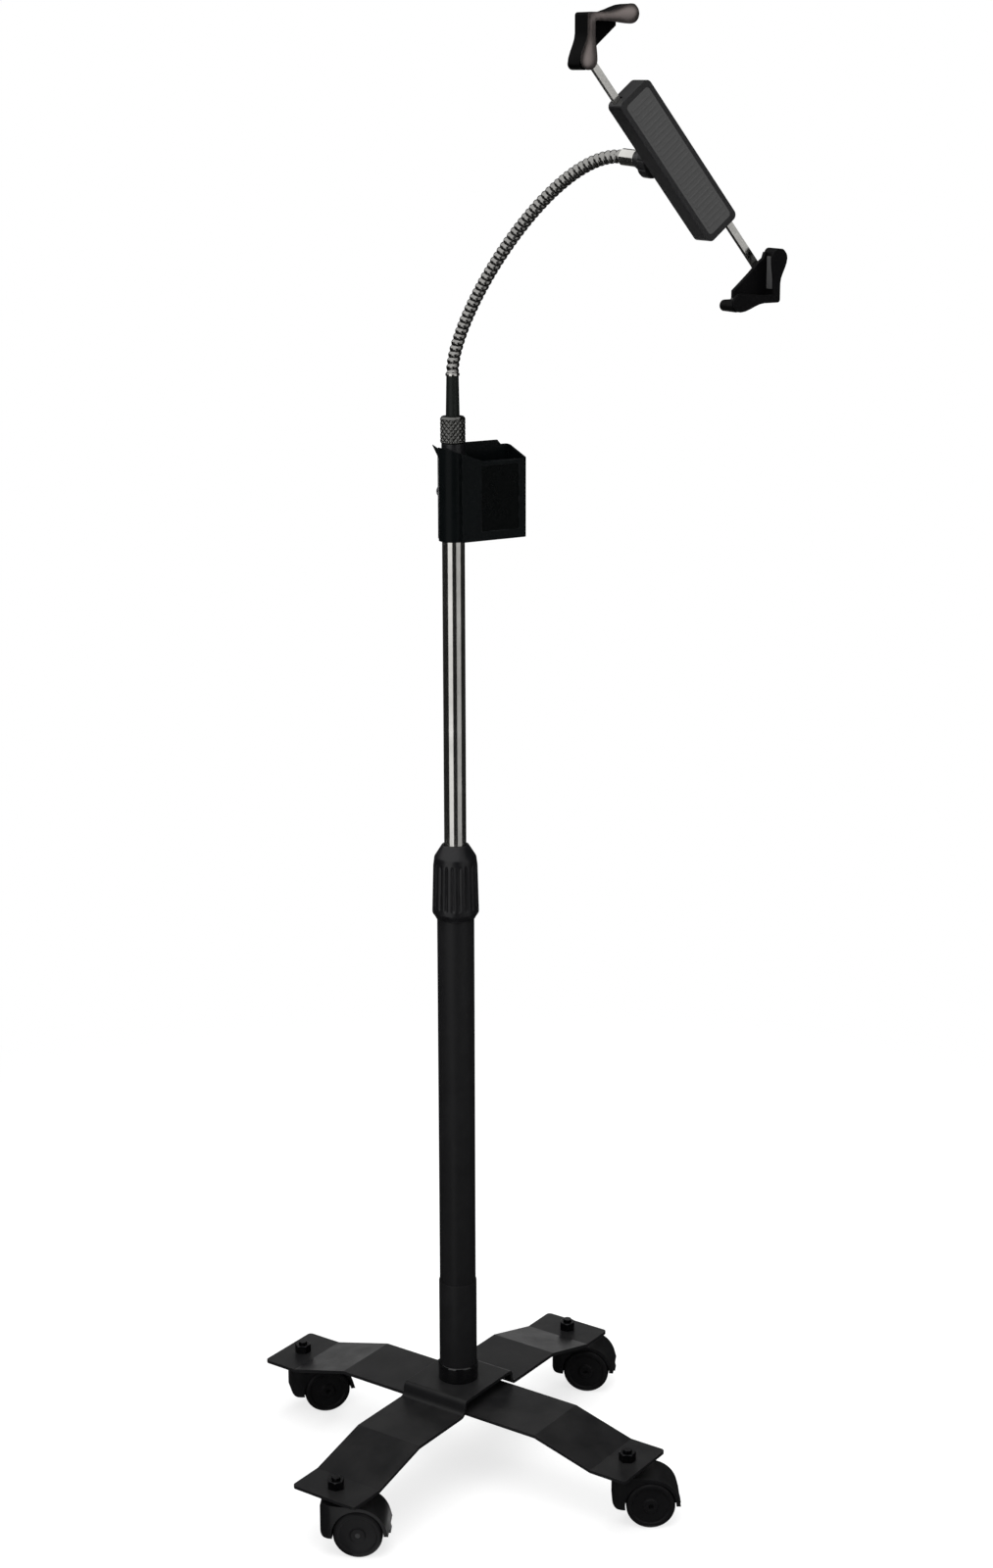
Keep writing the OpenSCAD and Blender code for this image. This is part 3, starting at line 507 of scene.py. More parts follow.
SOFT_TOUCH = Finish("soft_touch_grip", "soft_grip", (0.0026, 0.0026, 0.0028), gloss=(0.46, 0.58),
                    grain=(1900.0, 0.000012), worn_and_lit_edges=(0.2, (0.04, 0.038, 0.037)), level=0.06)
# Lit and shaded copy of the soft touch, for the upper grip: dark sides and painted light on its front.
SOFT_TOUCH_PAINTED_LIT_FRONT = Finish("soft_touch_painted_lit_front", "soft_grip", (0.001, 0.001, 0.0011), gloss=(0.46, 0.58),
                    grain=(1900.0, 0.000012), level=0.03, front=(-0.2975, (0.165, 0.143, 0.137)))
PAD_RUBBER = Finish("pad_rubber", "pad_rubber", (0.018, 0.018, 0.0185), gloss=(0.6, 0.74),
                    grain=(1700.0, 0.00002), level=0.25)


def new_mesh(name: str, points: Sequence[Any], faces: Sequence[tuple[int, ...]]) -> Mesh:
    """Make a mesh of points and faces.

    Args:
        name: Name of the mesh.
        points: Its points.
        faces: Its faces, which point outwards.

    Returns:
        The mesh.
    """
    mesh = bpy.data.meshes.new(name)
    mesh.from_pydata(points, [], faces)
    mesh.update()
    return mesh


def placed(name: str, data: ID) -> Object:
    """Put an object into the scene.

    Args:
        name: Name of the object.
        data: Its mesh, lamp or camera.

    Returns:
        The object.
    """
    thing = bpy.data.objects.new(name, data)
    bpy.context.scene.collection.objects.link(thing)
    return thing


def graded(outline: Outline, step: float, outside: float) -> list[tuple[float, float]]:
    """Put extra points on the outer runs of a closed outline.

    Args:
        outline: Radius and height of each corner.
        step: Longest run that is left on the outside.
        outside: Radius past which a run is divided.

    Returns:
        The outline with the extra points.
    """
    points: list[tuple[float, float]] = []
    for (r0, z0), (r1, z1) in zip(outline, [*outline[1:], outline[0]]):
        count = max(1, math.ceil(math.hypot(r1 - r0, z1 - z0) / step)) if min(r0, r1) > outside else 1
        points += [(r0 + (r1 - r0) * i / count, z0 + (z1 - z0) * i / count) for i in range(count)]
    return points


def eased(outline: Outline, radius: float, cuts: int = 3, most: float = 0.45) -> list[tuple[float, float]]:
    """Round the corners of a closed outline.

    Args:
        outline: Radius and height of each corner.
        radius: How far along its sides a corner is rounded.
        cuts: Points on each rounded corner, less one.
        most: Share of a side that one corner may take.

    Returns:
        The outline with its corners rounded.
    """
    points: list[tuple[float, float]] = []
    count = len(outline)
    for i, here in enumerate(outline):
        corner = Vector(here)
        ends = []
        for other in (outline[i - 1], outline[(i + 1) % count]):
            run = Vector(other) - corner
            ends.append(corner + run * min(most, radius / run.length))
        for k in range(cuts + 1):
            t = k / cuts
            point = ends[0] * (1 - t) ** 2 + corner * 2 * t * (1 - t) + ends[1] * t * t
            points.append((point.x, point.y))
    return points


def ringed(name: str, rings: Sequence[Ring], steps: int, capped: bool = False) -> Mesh:
    """Join rings whose radius and height change with the angle into a closed skin.

    Args:
        name: Name of the mesh.
        rings: For each ring, its radius and height at an angle, the outside running upward.
        steps: Number of steps round the axis.
        capped: Whether flat ends close the skin, and not a bore from the last ring to the first.

    Returns:
        The mesh.
    """
    rows = len(rings)
    points = []
    for s in range(steps):
        angle = math.tau * s / steps
        for ring in rings:
            r, z = ring(angle)
            points.append((r * math.cos(angle), r * math.sin(angle), z))
    faces: list[tuple[int, ...]] = []
    for s in range(steps):
        here, there = s * rows, (s + 1) % steps * rows
        for i in range(rows - 1 if capped else rows):
            after = (i + 1) % rows
            faces.append((here + i, there + i, there + after, here + after))
    if capped:
        faces.append(tuple(s * rows for s in reversed(range(steps))))
        faces.append(tuple(s * rows + rows - 1 for s in range(steps)))
    return new_mesh(name, points, faces)


def turned(name: str, outline: Outline, steps: int, capped: bool = False) -> Mesh:
    """Turn an outline about the Z axis, its outside running upward."""
    return ringed(name, [lambda angle, spot=spot: spot for spot in outline], steps, capped)


def hexagon(flats: float, angle: float) -> float:
    """Give a hexagon's radius at an angle from the middle of a flat."""
    side = math.pi / 3
    return flats / 2 / math.cos((angle + side / 2) % side - side / 2)


def smoothed(mesh: Mesh, angle: float = 35.0) -> Mesh:
    """Shade a mesh smooth apart from its sharp edges.

    Args:
        mesh: The mesh.
        angle: Angle in degrees past which an edge stays sharp.

    Returns:
        The same mesh.
    """
    mesh.shade_smooth()
    mesh.set_sharp_from_angle(angle=math.radians(angle))
    return mesh


def pipe(name: str, radii: tuple[float, float], rise: tuple[float, float], edge: float,
         steps: int = FINE_TURN) -> Mesh:
    """Turn a plain tube or ring.

    Args:
        name: Name of the mesh.
        radii: Inner and outer radius.
        rise: Height of its foot and of its top.
        edge: How far its corners are rounded.
        steps: Number of steps round the axis.

    Returns:
        The mesh.
    """
    (bore, outer), (foot, top) = radii, rise
    outline = [(bore, foot), (outer, foot), (outer, top), (bore, top)]
    return smoothed(turned(name, eased(outline, edge), steps))


class NodeTools:
    """Geometry node trees that make what repeats, what is tooled and what follows the neck's curve."""

    def __init__(self) -> None:
        """Build the trees."""
        self.tooled = self._tooled()
        self.ring_of = self._ring_of()
        self.row_of = self._row_of()
        self.wound = self._wound()

    @staticmethod
    def _tooled() -> NodeTree:
        """Build the tree that presses flutes or a crossed knurl into a turned skin.

        Returns:
            The tree.
        """
        group = Group("tooled_skin", "GeometryNodeTree", {
            "Geometry": Socket.GEOMETRY, "Count": 20.0, "Slant": 0.0, "Sharpness": 1.0, "Depth": 0.0005,
            "Low": 0.0, "High": 0.02, "Fade": 0.002, "Inside": 0.01, "Material": Socket.MATERIAL},
            Geometry=Socket.GEOMETRY)
        given = group.given
        x, y, z = group.split(group.first("GeometryNodeInputPosition"))
        turn = group.math("MULTIPLY", group.math("ARCTAN2", y, x), given["Count"])
        climb = group.math("MULTIPLY", z, given["Slant"])
        cuts = []
        for operation in ("ADD", "SUBTRACT"):
            wave = group.math("COSINE", group.math(operation, turn, climb))
            lift = group.math("MULTIPLY_ADD", wave, 0.5, 0.5)
            cuts.append(group.math("POWER", lift, given["Sharpness"]))
        cut = group.math("MAXIMUM", *cuts)
        full_from = group.math("ADD", given["Low"], given["Fade"])
        full_to = group.math("SUBTRACT", given["High"], given["Fade"])
        start = group.ramp(z, given["Low"], full_from, interpolation_type="SMOOTHSTEP")
        stop = group.ramp(z, given["High"], full_to, interpolation_type="SMOOTHSTEP")
        window = group.math("MULTIPLY", start, stop)
        radial = group.join(x, y)
        away = group.vector("NORMALIZE", radial)[0]
        radius = group.vector("LENGTH", radial)["Value"]
        outer = group.math("GREATER_THAN", radius, given["Inside"])
        inward = group.math("MULTIPLY", outer, group.math("MULTIPLY", given["Depth"], -1.0))
        depth = group.math("MULTIPLY", group.math("MULTIPLY", cut, window), inward)
        return group.put_real(group.first("GeometryNodeSetPosition", {
            "Geometry": given["Geometry"], "Offset": group.scale(away, depth)}))

    @staticmethod
    def _ring_of() -> NodeTree:
        """Build the tree that sets copies of a piece round the upright axis.

        Returns:
            The tree.
        """
        group = Group("ring_of_pieces", "GeometryNodeTree", {
            "Geometry": Socket.GEOMETRY, "Count": 4, "Radius": 0.1, "Start": 0.0,
            "Material": Socket.MATERIAL}, Geometry=Socket.GEOMETRY)
        given = group.given
        circle = group.first("GeometryNodeMeshCircle", {"Vertices": given["Count"],
                                                        "Radius": given["Radius"]})
        share = group.math("DIVIDE", group.first("GeometryNodeInputIndex"), given["Count"])
        angle = group.math("MULTIPLY_ADD", share, math.tau, given["Start"])
        spread = group.join(group.math("MULTIPLY", group.math("COSINE", angle), given["Radius"]),
                            group.math("MULTIPLY", group.math("SINE", angle), given["Radius"]))
        points = group.first("GeometryNodeSetPosition", {"Geometry": circle, "Position": spread})
        return group.put_real(group.first("GeometryNodeInstanceOnPoints", {
            "Points": points, "Instance": given["Geometry"], "Rotation": group.join(z=angle)}))

    @staticmethod
    def _row_of() -> NodeTree:
        """Build the tree that sets copies of a piece in a straight row about the middle.

        Returns:
            The tree.
        """
        group = Group("row_of_pieces", "GeometryNodeTree", {
            "Geometry": Socket.GEOMETRY, "Count": 2, "Spacing": 0.01, "Material": Socket.MATERIAL},
            Geometry=Socket.GEOMETRY)
        given = group.given
        last = group.math("SUBTRACT", given["Count"], 1.0)
        start = group.math("MULTIPLY", group.math("MULTIPLY", last, -0.5), given["Spacing"])
        line = group.first("GeometryNodeMeshLine", {
            "Count": given["Count"], "Start Location": group.join(start),
            "Offset": group.join(given["Spacing"])})
        return group.put_real(group.first("GeometryNodeInstanceOnPoints", {
            "Points": line, "Instance": given["Geometry"]}))

    @staticmethod
    def _noted(group: Group, shape: NodeSocket, name: str, value: NodeSocket) -> NodeSocket:
        """Keep a value on each point of a shape, under a name, and give the shape."""
        note = {"Geometry": shape, "Name": name, "Value": value}
        return group.first("GeometryNodeStoreNamedAttribute", note, data_type=NOTES[name], domain="POINT")

    def _wound(self) -> NodeTree:
        """Build the tree of a stretch of the neck: one wire wound in a helix along the neck's curve.

        Returns:
            The tree.
        """
        ends = ("Start", "Start Handle", "End Handle", "End")
        group = Group("wound_stretch", "GeometryNodeTree", {
            **dict.fromkeys((*ends, "Across"), Socket.VECTOR), "From": 0.0, "To": 0.1, "Radius": 0.0065,
            "Pitch": 0.0065, "Groove": 0.0012, "Step": 0.0004, "Material": Socket.MATERIAL},
            Geometry=Socket.GEOMETRY)
        given = group.given
        curve = group.first("GeometryNodeCurvePrimitiveBezierSegment",
                            {"Resolution": 120, **{end: given[end] for end in ends}}, mode="POSITION")
        part = group.first("GeometryNodeTrimCurve", {0: curve, 4: given["From"], 5: given["To"]},
                           mode="LENGTH")
        fine = group.first("GeometryNodeResampleCurve", {"Curve": part, "Length": given["Step"]},
                           mode="LENGTH")
        level = group.first("GeometryNodeSetCurveNormal", {"Curve": fine, "Normal": given["Across"]},
                            mode="FREE")
        along = group.math("ADD", group.add("GeometryNodeSplineParameter").outputs["Length"], given["From"])
        path = self._noted(group, level, "along", along)
        path = self._noted(group, path, "centre", group.first("GeometryNodeInputPosition"))
        circle = group.first("GeometryNodeCurvePrimitiveCircle", {"Resolution": 40,
                                                                  "Radius": given["Radius"]})
        about = group.math("MULTIPLY", group.add("GeometryNodeSplineParameter").outputs["Factor"], math.tau)
        section = self._noted(group, circle, "about", about)
        tube = group.first("GeometryNodeCurveToMesh", {"Curve": path, "Profile Curve": section,
                                                       "Fill Caps": True})
        read = {name: group.first("GeometryNodeInputNamedAttribute", {"Name": name}, data_type=kind)
                for name, kind in NOTES.items()}
        turns = group.math("MULTIPLY", group.math("DIVIDE", read["along"], given["Pitch"]), math.tau)
        phase = group.math("MULTIPLY", group.math("SUBTRACT", turns, read["about"]), 0.5)
        crest = group.math("ABSOLUTE", group.math("COSINE", phase))
        sink = group.math("MULTIPLY", group.math("SUBTRACT", crest, 1.0), given["Groove"])
        out = group.vector("SUBTRACT", group.first("GeometryNodeInputPosition"), read["centre"])[0]
        away = group.vector("NORMALIZE", out)[0]
        ribbed = group.first("GeometryNodeSetPosition", {"Geometry": tube, "Offset": group.scale(away, sink)})
        corners = group.add("GeometryNodeInputMeshFaceNeighbors").outputs["Vertex Count"]
        side = group.math("LESS_THAN", corners, 4.5)
        return group.put_real(group.first("GeometryNodeSetShadeSmooth", {
            "Geometry": ribbed, "Shade Smooth": side}))


class Workshop:
    """Finishes the frame's nodes and makes new pieces, with the shared effects and trees."""

    weld_gap: float = 0.000002
    flat_angle: float = math.radians(0.4)
    corner_angle: float = math.radians(32)

    def __init__(self, frame: dict[str, Any]) -> None:
        """Keep the frame and build what all pieces share.
        """
        self.nodes: dict[str, Object] = frame["nodes"]
        self.joints: dict[str, dict[str, Any]] = {j["name"]: j for j in frame["joints"]}
        self.effects = SurfaceEffects()
        self.trees = NodeTools()

    def dress(self, finish: Finish, edge: Edge, *nodes: str) -> None:
        """Finish some of the frame's own nodes alike.

        Args:
            finish: Their finish.
            edge: How far their corners are rounded.
            nodes: Names of the nodes.
        """
        for node in nodes:
            self._finish(self.nodes[node], finish, edge)
            LOG.info("node %s in %s", node, finish.name)

    def _finish(self, piece: Object, finish: Finish, edge: Edge) -> None:
        """Give one node its material, even its faces out and round its corners.

        Args:
            piece: The node's object.
            finish: Its finish.
            edge: How far its corners are rounded.
        """
        piece.data.materials.clear()
        piece.data.materials.append(finish.material(self.effects))
        for face in piece.data.polygons:
            face.use_smooth = True
        weld = piece.modifiers.new("weld", "WELD")
        weld.merge_threshold = self.weld_gap
        plane = piece.modifiers.new("plane", "DECIMATE")
        plane.decimate_type = "DISSOLVE"
        plane.angle_limit = self.flat_angle
        bevel = piece.modifiers.new("round", "BEVEL")
        bevel.width, bevel.segments = edge.value
        bevel.limit_method = "ANGLE"
        bevel.angle_limit = self.corner_angle
        bevel.use_clamp_overlap = True
        bevel.harden_normals = True
        normals = piece.modifiers.new("even", "WEIGHTED_NORMAL")
        normals.keep_sharp = True

    def add(self, mesh: Mesh, finish: Finish, body: str, *replaced: str) -> None:
        """Add a new piece that rides on one body.

        Args:
            mesh: Its mesh, in place.
            finish: Its finish.
            body: The body that it rides on.
            replaced: The nodes that it stands for.
        """
        piece = placed(mesh.name, mesh)
        mesh.materials.clear()
        mesh.materials.append(finish.material(self.effects))
        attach(piece, body)
        if replaced:
            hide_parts(*replaced)
        LOG.info("piece %s on %s: %d faces", piece.name, body, len(mesh.polygons))

    def made(self, name: str, tree: NodeTree, finish: Finish, mesh: Mesh | None = None, **sizes: Any) -> Mesh:
        """Run a geometry node tree and keep its result as a plain mesh.

        Args:
            name: Name of the mesh.
            tree: The tree.
            finish: Finish that the tree sets.
            mesh: Mesh that the tree starts from, if any.
            sizes: The tree's inputs by name, with _ for a space.

        Returns:
            The plain mesh.
        """
        source = placed(name + "_source", mesh or bpy.data.meshes.new(name + "_blank"))
        run = source.modifiers.new("tree", "NODES")
        run.node_group = tree
        wanted = {k.replace("_", " "): v for k, v in sizes.items()}
        wanted["Material"] = finish.material(self.effects)
        for socket in tree.interface.items_tree:
            if socket.in_out == "INPUT" and socket.name in wanted:
                run[socket.identifier] = wanted[socket.name]
        graph = bpy.context.evaluated_depsgraph_get()
        result = bpy.data.meshes.new_from_object(source.evaluated_get(graph), depsgraph=graph)
        result.name = name
        for note in NOTES:
            if note in result.attributes:
                result.attributes.remove(result.attributes[note])
        bpy.data.objects.remove(source)
        return result


@dataclass(frozen=True)
class Tooling:
    """Flutes or a knurl that are pressed into a turned skin.

    Attributes:
        count: Cuts round the axis.
        sharpness: How narrow a cut is.
        depth: Depth of a cut.
        fade: Length over which the cuts run out.
        slant: How fast the cuts climb, with 0 for straight ones.
    """

    count: float
    sharpness: float
    depth: float
    fade: float
    slant: float = 0.0

    def press(self, shop: Workshop, name: str, finish: Finish, blank: Mesh, rise: tuple[float, float],
              inside: float) -> Mesh:
        """Press the cuts into a blank.

        Args:
            shop: The workshop.
            name: Name of the mesh.
            finish: Its finish.
            blank: The turned skin.
            rise: Heights between which the cuts run.
            inside: Radius that stays plain.

        Returns:
            The tooled mesh.
        """
        return shop.made(name, shop.trees.tooled, finish, blank, Count=self.count, Slant=self.slant,
                         Sharpness=self.sharpness, Depth=self.depth, Low=rise[0], High=rise[1],
                         Fade=self.fade, Inside=inside)


@dataclass
class Assembly(ABC):
    """A part of the stand.

    Attributes:
        shop: The workshop that makes it.
    """

    shop: Workshop

    @abstractmethod
    def build(self) -> None:
        """Dress the part's nodes and add its pieces."""


@dataclass
class Base(Assembly):
    """Crossed leg bars with their fasteners, the socket and the lower tube."""

    legs: int = 4
    nut_flats: float = 0.017
    nut_height: float = 0.01
    nut_face: float = 0.97
    nut_slope: float = math.radians(30)
    nut_chamfer: float = 0.0006
    stem_radius: float = 0.005
    bolt_radius: float = 0.006
    socket_radius: float = 0.022
    socket_edge: float = 0.0005
    tube_radius: float = 0.021
    tube_wall: float = 0.0015
    tube_edge: float = 0.0003
    foot_radius: float = 0.0234
    foot_height: float = 0.02
    foot_bevel: tuple[float, float] = (0.0009, 0.0015)
    foot_edge: float = 0.0006

    def build(self) -> None:
        """Dress the bars and hidden pieces and turn the tubes."""
        self.shop.dress(POWDER_COAT, Edge.EASED, "lower_leg_bar", "upper_leg_bar")
        self.shop.dress(POWDER_COAT, Edge.CRISP, "hub_spacer")
        self.shop.dress(ZINC, Edge.CRISP, "centre_bolt")
        self.shop.dress(NYLON, Edge.CRISP, "collar_seat", "collet_bush")
        self.shop.dress(BLACK_ZINC, Edge.CRISP, "caster_stems")
        self._tubes()
        self._nuts()

    def _tubes(self) -> None:
        """Turn the socket, the foot ring and the lower tube."""
        low, high = (corner.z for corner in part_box("base_socket"))
        plug, top = (corner.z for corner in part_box("lower_tube"))
        bore, wide, tube = self.bolt_radius, self.socket_radius, self.tube_radius
        socket = [(bore, low), (wide, low), (wide, high), (tube, high), (tube, plug), (bore, plug)]
        skin = turned("mast_socket", eased(socket, self.socket_edge), FINE_TURN)
        self.shop.add(smoothed(skin), POWDER_COAT, "base", "base_socket")
        rim, (inset, drop) = low + self.foot_height, self.foot_bevel
        foot = [(wide, low), (self.foot_radius, low), (self.foot_radius, rim - drop),
                (self.foot_radius - inset, rim), (wide, rim)]
        skin = turned("gloss_foot", eased(foot, self.foot_edge), FINE_TURN)
        self.shop.add(smoothed(skin), FOOT_GLOSS, "base", "foot_ring")
        skin = pipe("lower_mast_tube", (tube - self.tube_wall, tube), (plug, top), self.tube_edge)
        self.shop.add(skin, POWDER_COAT, "base", "lower_tube")

    def _nuts(self) -> None:
        """Set a chamfered hex nut on each leg's end."""
        spot = Vector(self.shop.joints["caster_rr_swivel"]["pos_m"])
        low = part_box("stem_nuts")[0].z
        top = low + self.nut_height
        face = self.nut_flats / 2 * self.nut_face
        slope = math.tan(self.nut_slope)

        def shoulder(angle: float) -> tuple[float, float]:
            """Give the point of the chamfer's lower edge at an angle."""
            corner = hexagon(self.nut_flats, angle)
            return corner, top - (corner - face) * slope

        rings: list[Ring] = [
            lambda a: (self.stem_radius, low), lambda a: (hexagon(self.nut_flats, a), low), shoulder,
            lambda a: (face, top), lambda a: (self.stem_radius + self.nut_chamfer, top),
            lambda a: (self.stem_radius, top - self.nut_chamfer)]
        nut = ringed("hex_nut", rings, HEX_TURN)
        nuts = self.shop.made("leg_nuts", self.shop.trees.ring_of, BLACK_ZINC, nut, Count=self.legs,
                              Radius=math.hypot(spot.x, spot.y), Start=math.atan2(spot.y, spot.x))
        self.shop.add(smoothed(nuts, 20), BLACK_ZINC, "base", "stem_nuts")


@dataclass
class Casters(Assembly):
    """Four hooded twin-wheel casters."""

    names: tuple[str, ...] = ("fr", "rr", "rl", "fl")

    def build(self) -> None:
        """Dress the hoods, wheels and axles."""
        for name in self.names:
            self.shop.dress(HOOD_SKIN, Edge.FULL, "hood_" + name)
            self.shop.dress(WHEEL_SKIN, Edge.EASED, "wheels_" + name)
            self.shop.dress(DULL_ZINC, Edge.CRISP, "axle_" + name)


@dataclass
class Mast(Assembly):
    """Twist lock, chromed upper tube and pocket."""

    collar_radius: float = 0.0264
    collar_skin: Outline = ((-0.0042, -0.038), (-0.0034, -0.036), (0.0, -0.031), (-0.0014, 0.024),
                            (-0.0027, 0.034), (-0.0039, 0.036))
    collar_core: Outline = ((0.0, 0.048), (0.0, 0.033), (0.003, 0.033), (0.0045, 0.004))
    collar_bore: Outline = ((0.0003, 0.0033), (0.0023, -0.002), (0.0023, -0.034), (0.0003, -0.034))
    collar_brim: float = 0.0025
    collar_play: float = 0.0003
    collar_edge: float = 0.0012
    collar_plain: float = 0.004
    collar_run: float = 0.0008
    collar_steps: int = 240
    flutes: Tooling = Tooling(20.0, 3.0, 0.0013, 0.004)
    flute_rise: tuple[float, float] = (-0.0265, 0.0285)
    upper_radius: float = 0.0125
    upper_wall: float = 0.0012
    upper_edge: float = 0.0003
    lower_radius: float = 0.021
    thumb_radius: float = 0.007
    thumb_shaft: float = 0.0025
    thumb_height: float = 0.006
    thumb_bevel: float = 0.0006
    thumb_dish: float = 0.0042
    thumb_step: float = 0.0005
    thumb_skin: float = 0.0002
    thumb_steps: int = 192
    thumb_knurl: Tooling = Tooling(32.0, 2.0, 0.0005, 0.0012)

    def build(self) -> None:
        """Turn the collar and the tube and dress the rest."""
        self.shop.dress(NYLON, Edge.CRISP, "guide_bush")
        self.shop.dress(COLLAR_SKIN, Edge.CRISP, "top_plug")
        self.shop.dress(POCKET_SKIN, Edge.ROUND, "pocket")
        self._screw()
        low, high = (corner.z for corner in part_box("upper_tube"))
        radii = (self.upper_radius - self.upper_wall, self.upper_radius)
        tube = pipe("upper_mast_tube", radii, (low, high), self.upper_edge)
        self.shop.add(tube, POLISHED, "mast", "upper_tube")
        self._collar()

    def _screw(self) -> None:
        """Turn the pocket's thumb screw and press its knurl."""
        low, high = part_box("pocket_screw")
        long = high.y - low.y
        r, shaft, bevel, step = self.thumb_radius, self.thumb_shaft, self.thumb_bevel, self.thumb_step
        neck = long - self.thumb_height
        outline = [(shaft - bevel, 0.0), (shaft, bevel), (shaft, neck), (r - step, neck)]
        outline += [(r, neck + step + step * i) for i in range(10)]
        outline += [(r, long - bevel), (r - bevel, long), (self.thumb_dish, long),
                    (self.thumb_dish - bevel, long - bevel)]
        blank = turned("thumb_blank", outline, self.thumb_steps, capped=True)
        knurled = self.thumb_knurl.press(self.shop, "pocket_thumb_screw", ZINC, blank, (neck, long),
                                         r - self.thumb_skin)
        axis = Matrix.Rotation(math.radians(-90), 4, "X")
        foot = ((low.x + high.x) / 2, low.y, (low.z + high.z) / 2)
        knurled.transform(Matrix.Translation(foot) @ axis)
        self.shop.add(smoothed(knurled), ZINC, "mast", "pocket_screw")

    def _collar(self) -> None:
        """Turn the collar and press its flutes."""
        joint = Vector(self.shop.joints["collar_twist"]["pos_m"]).z
        c, lower, way = self.collar_radius, self.lower_radius, self.upper_radius + self.collar_play
        outline = [(lower + self.collar_play, self.collar_skin[0][1])]
        outline += [(c + inset, z) for inset, z in self.collar_skin]
        outline.append((self.upper_radius + self.collar_brim, self.collar_core[0][1]))
        outline += [(way + room, z) for room, z in self.collar_core]
        outline += [(lower + room, z) for room, z in self.collar_bore]
        plain = c - self.collar_plain
        outline = graded(eased(outline, self.collar_edge), self.collar_run, plain)
        blank = turned("collar_blank", outline, self.collar_steps)
        fluted = self.flutes.press(self.shop, "twist_lock_collar", COLLAR_SKIN, blank, self.flute_rise, plain)
        fluted.transform(Matrix.Translation((0.0, 0.0, joint)))
        self.shop.add(smoothed(fluted, 40), COLLAR_SKIN, "collar", "twist_collar")


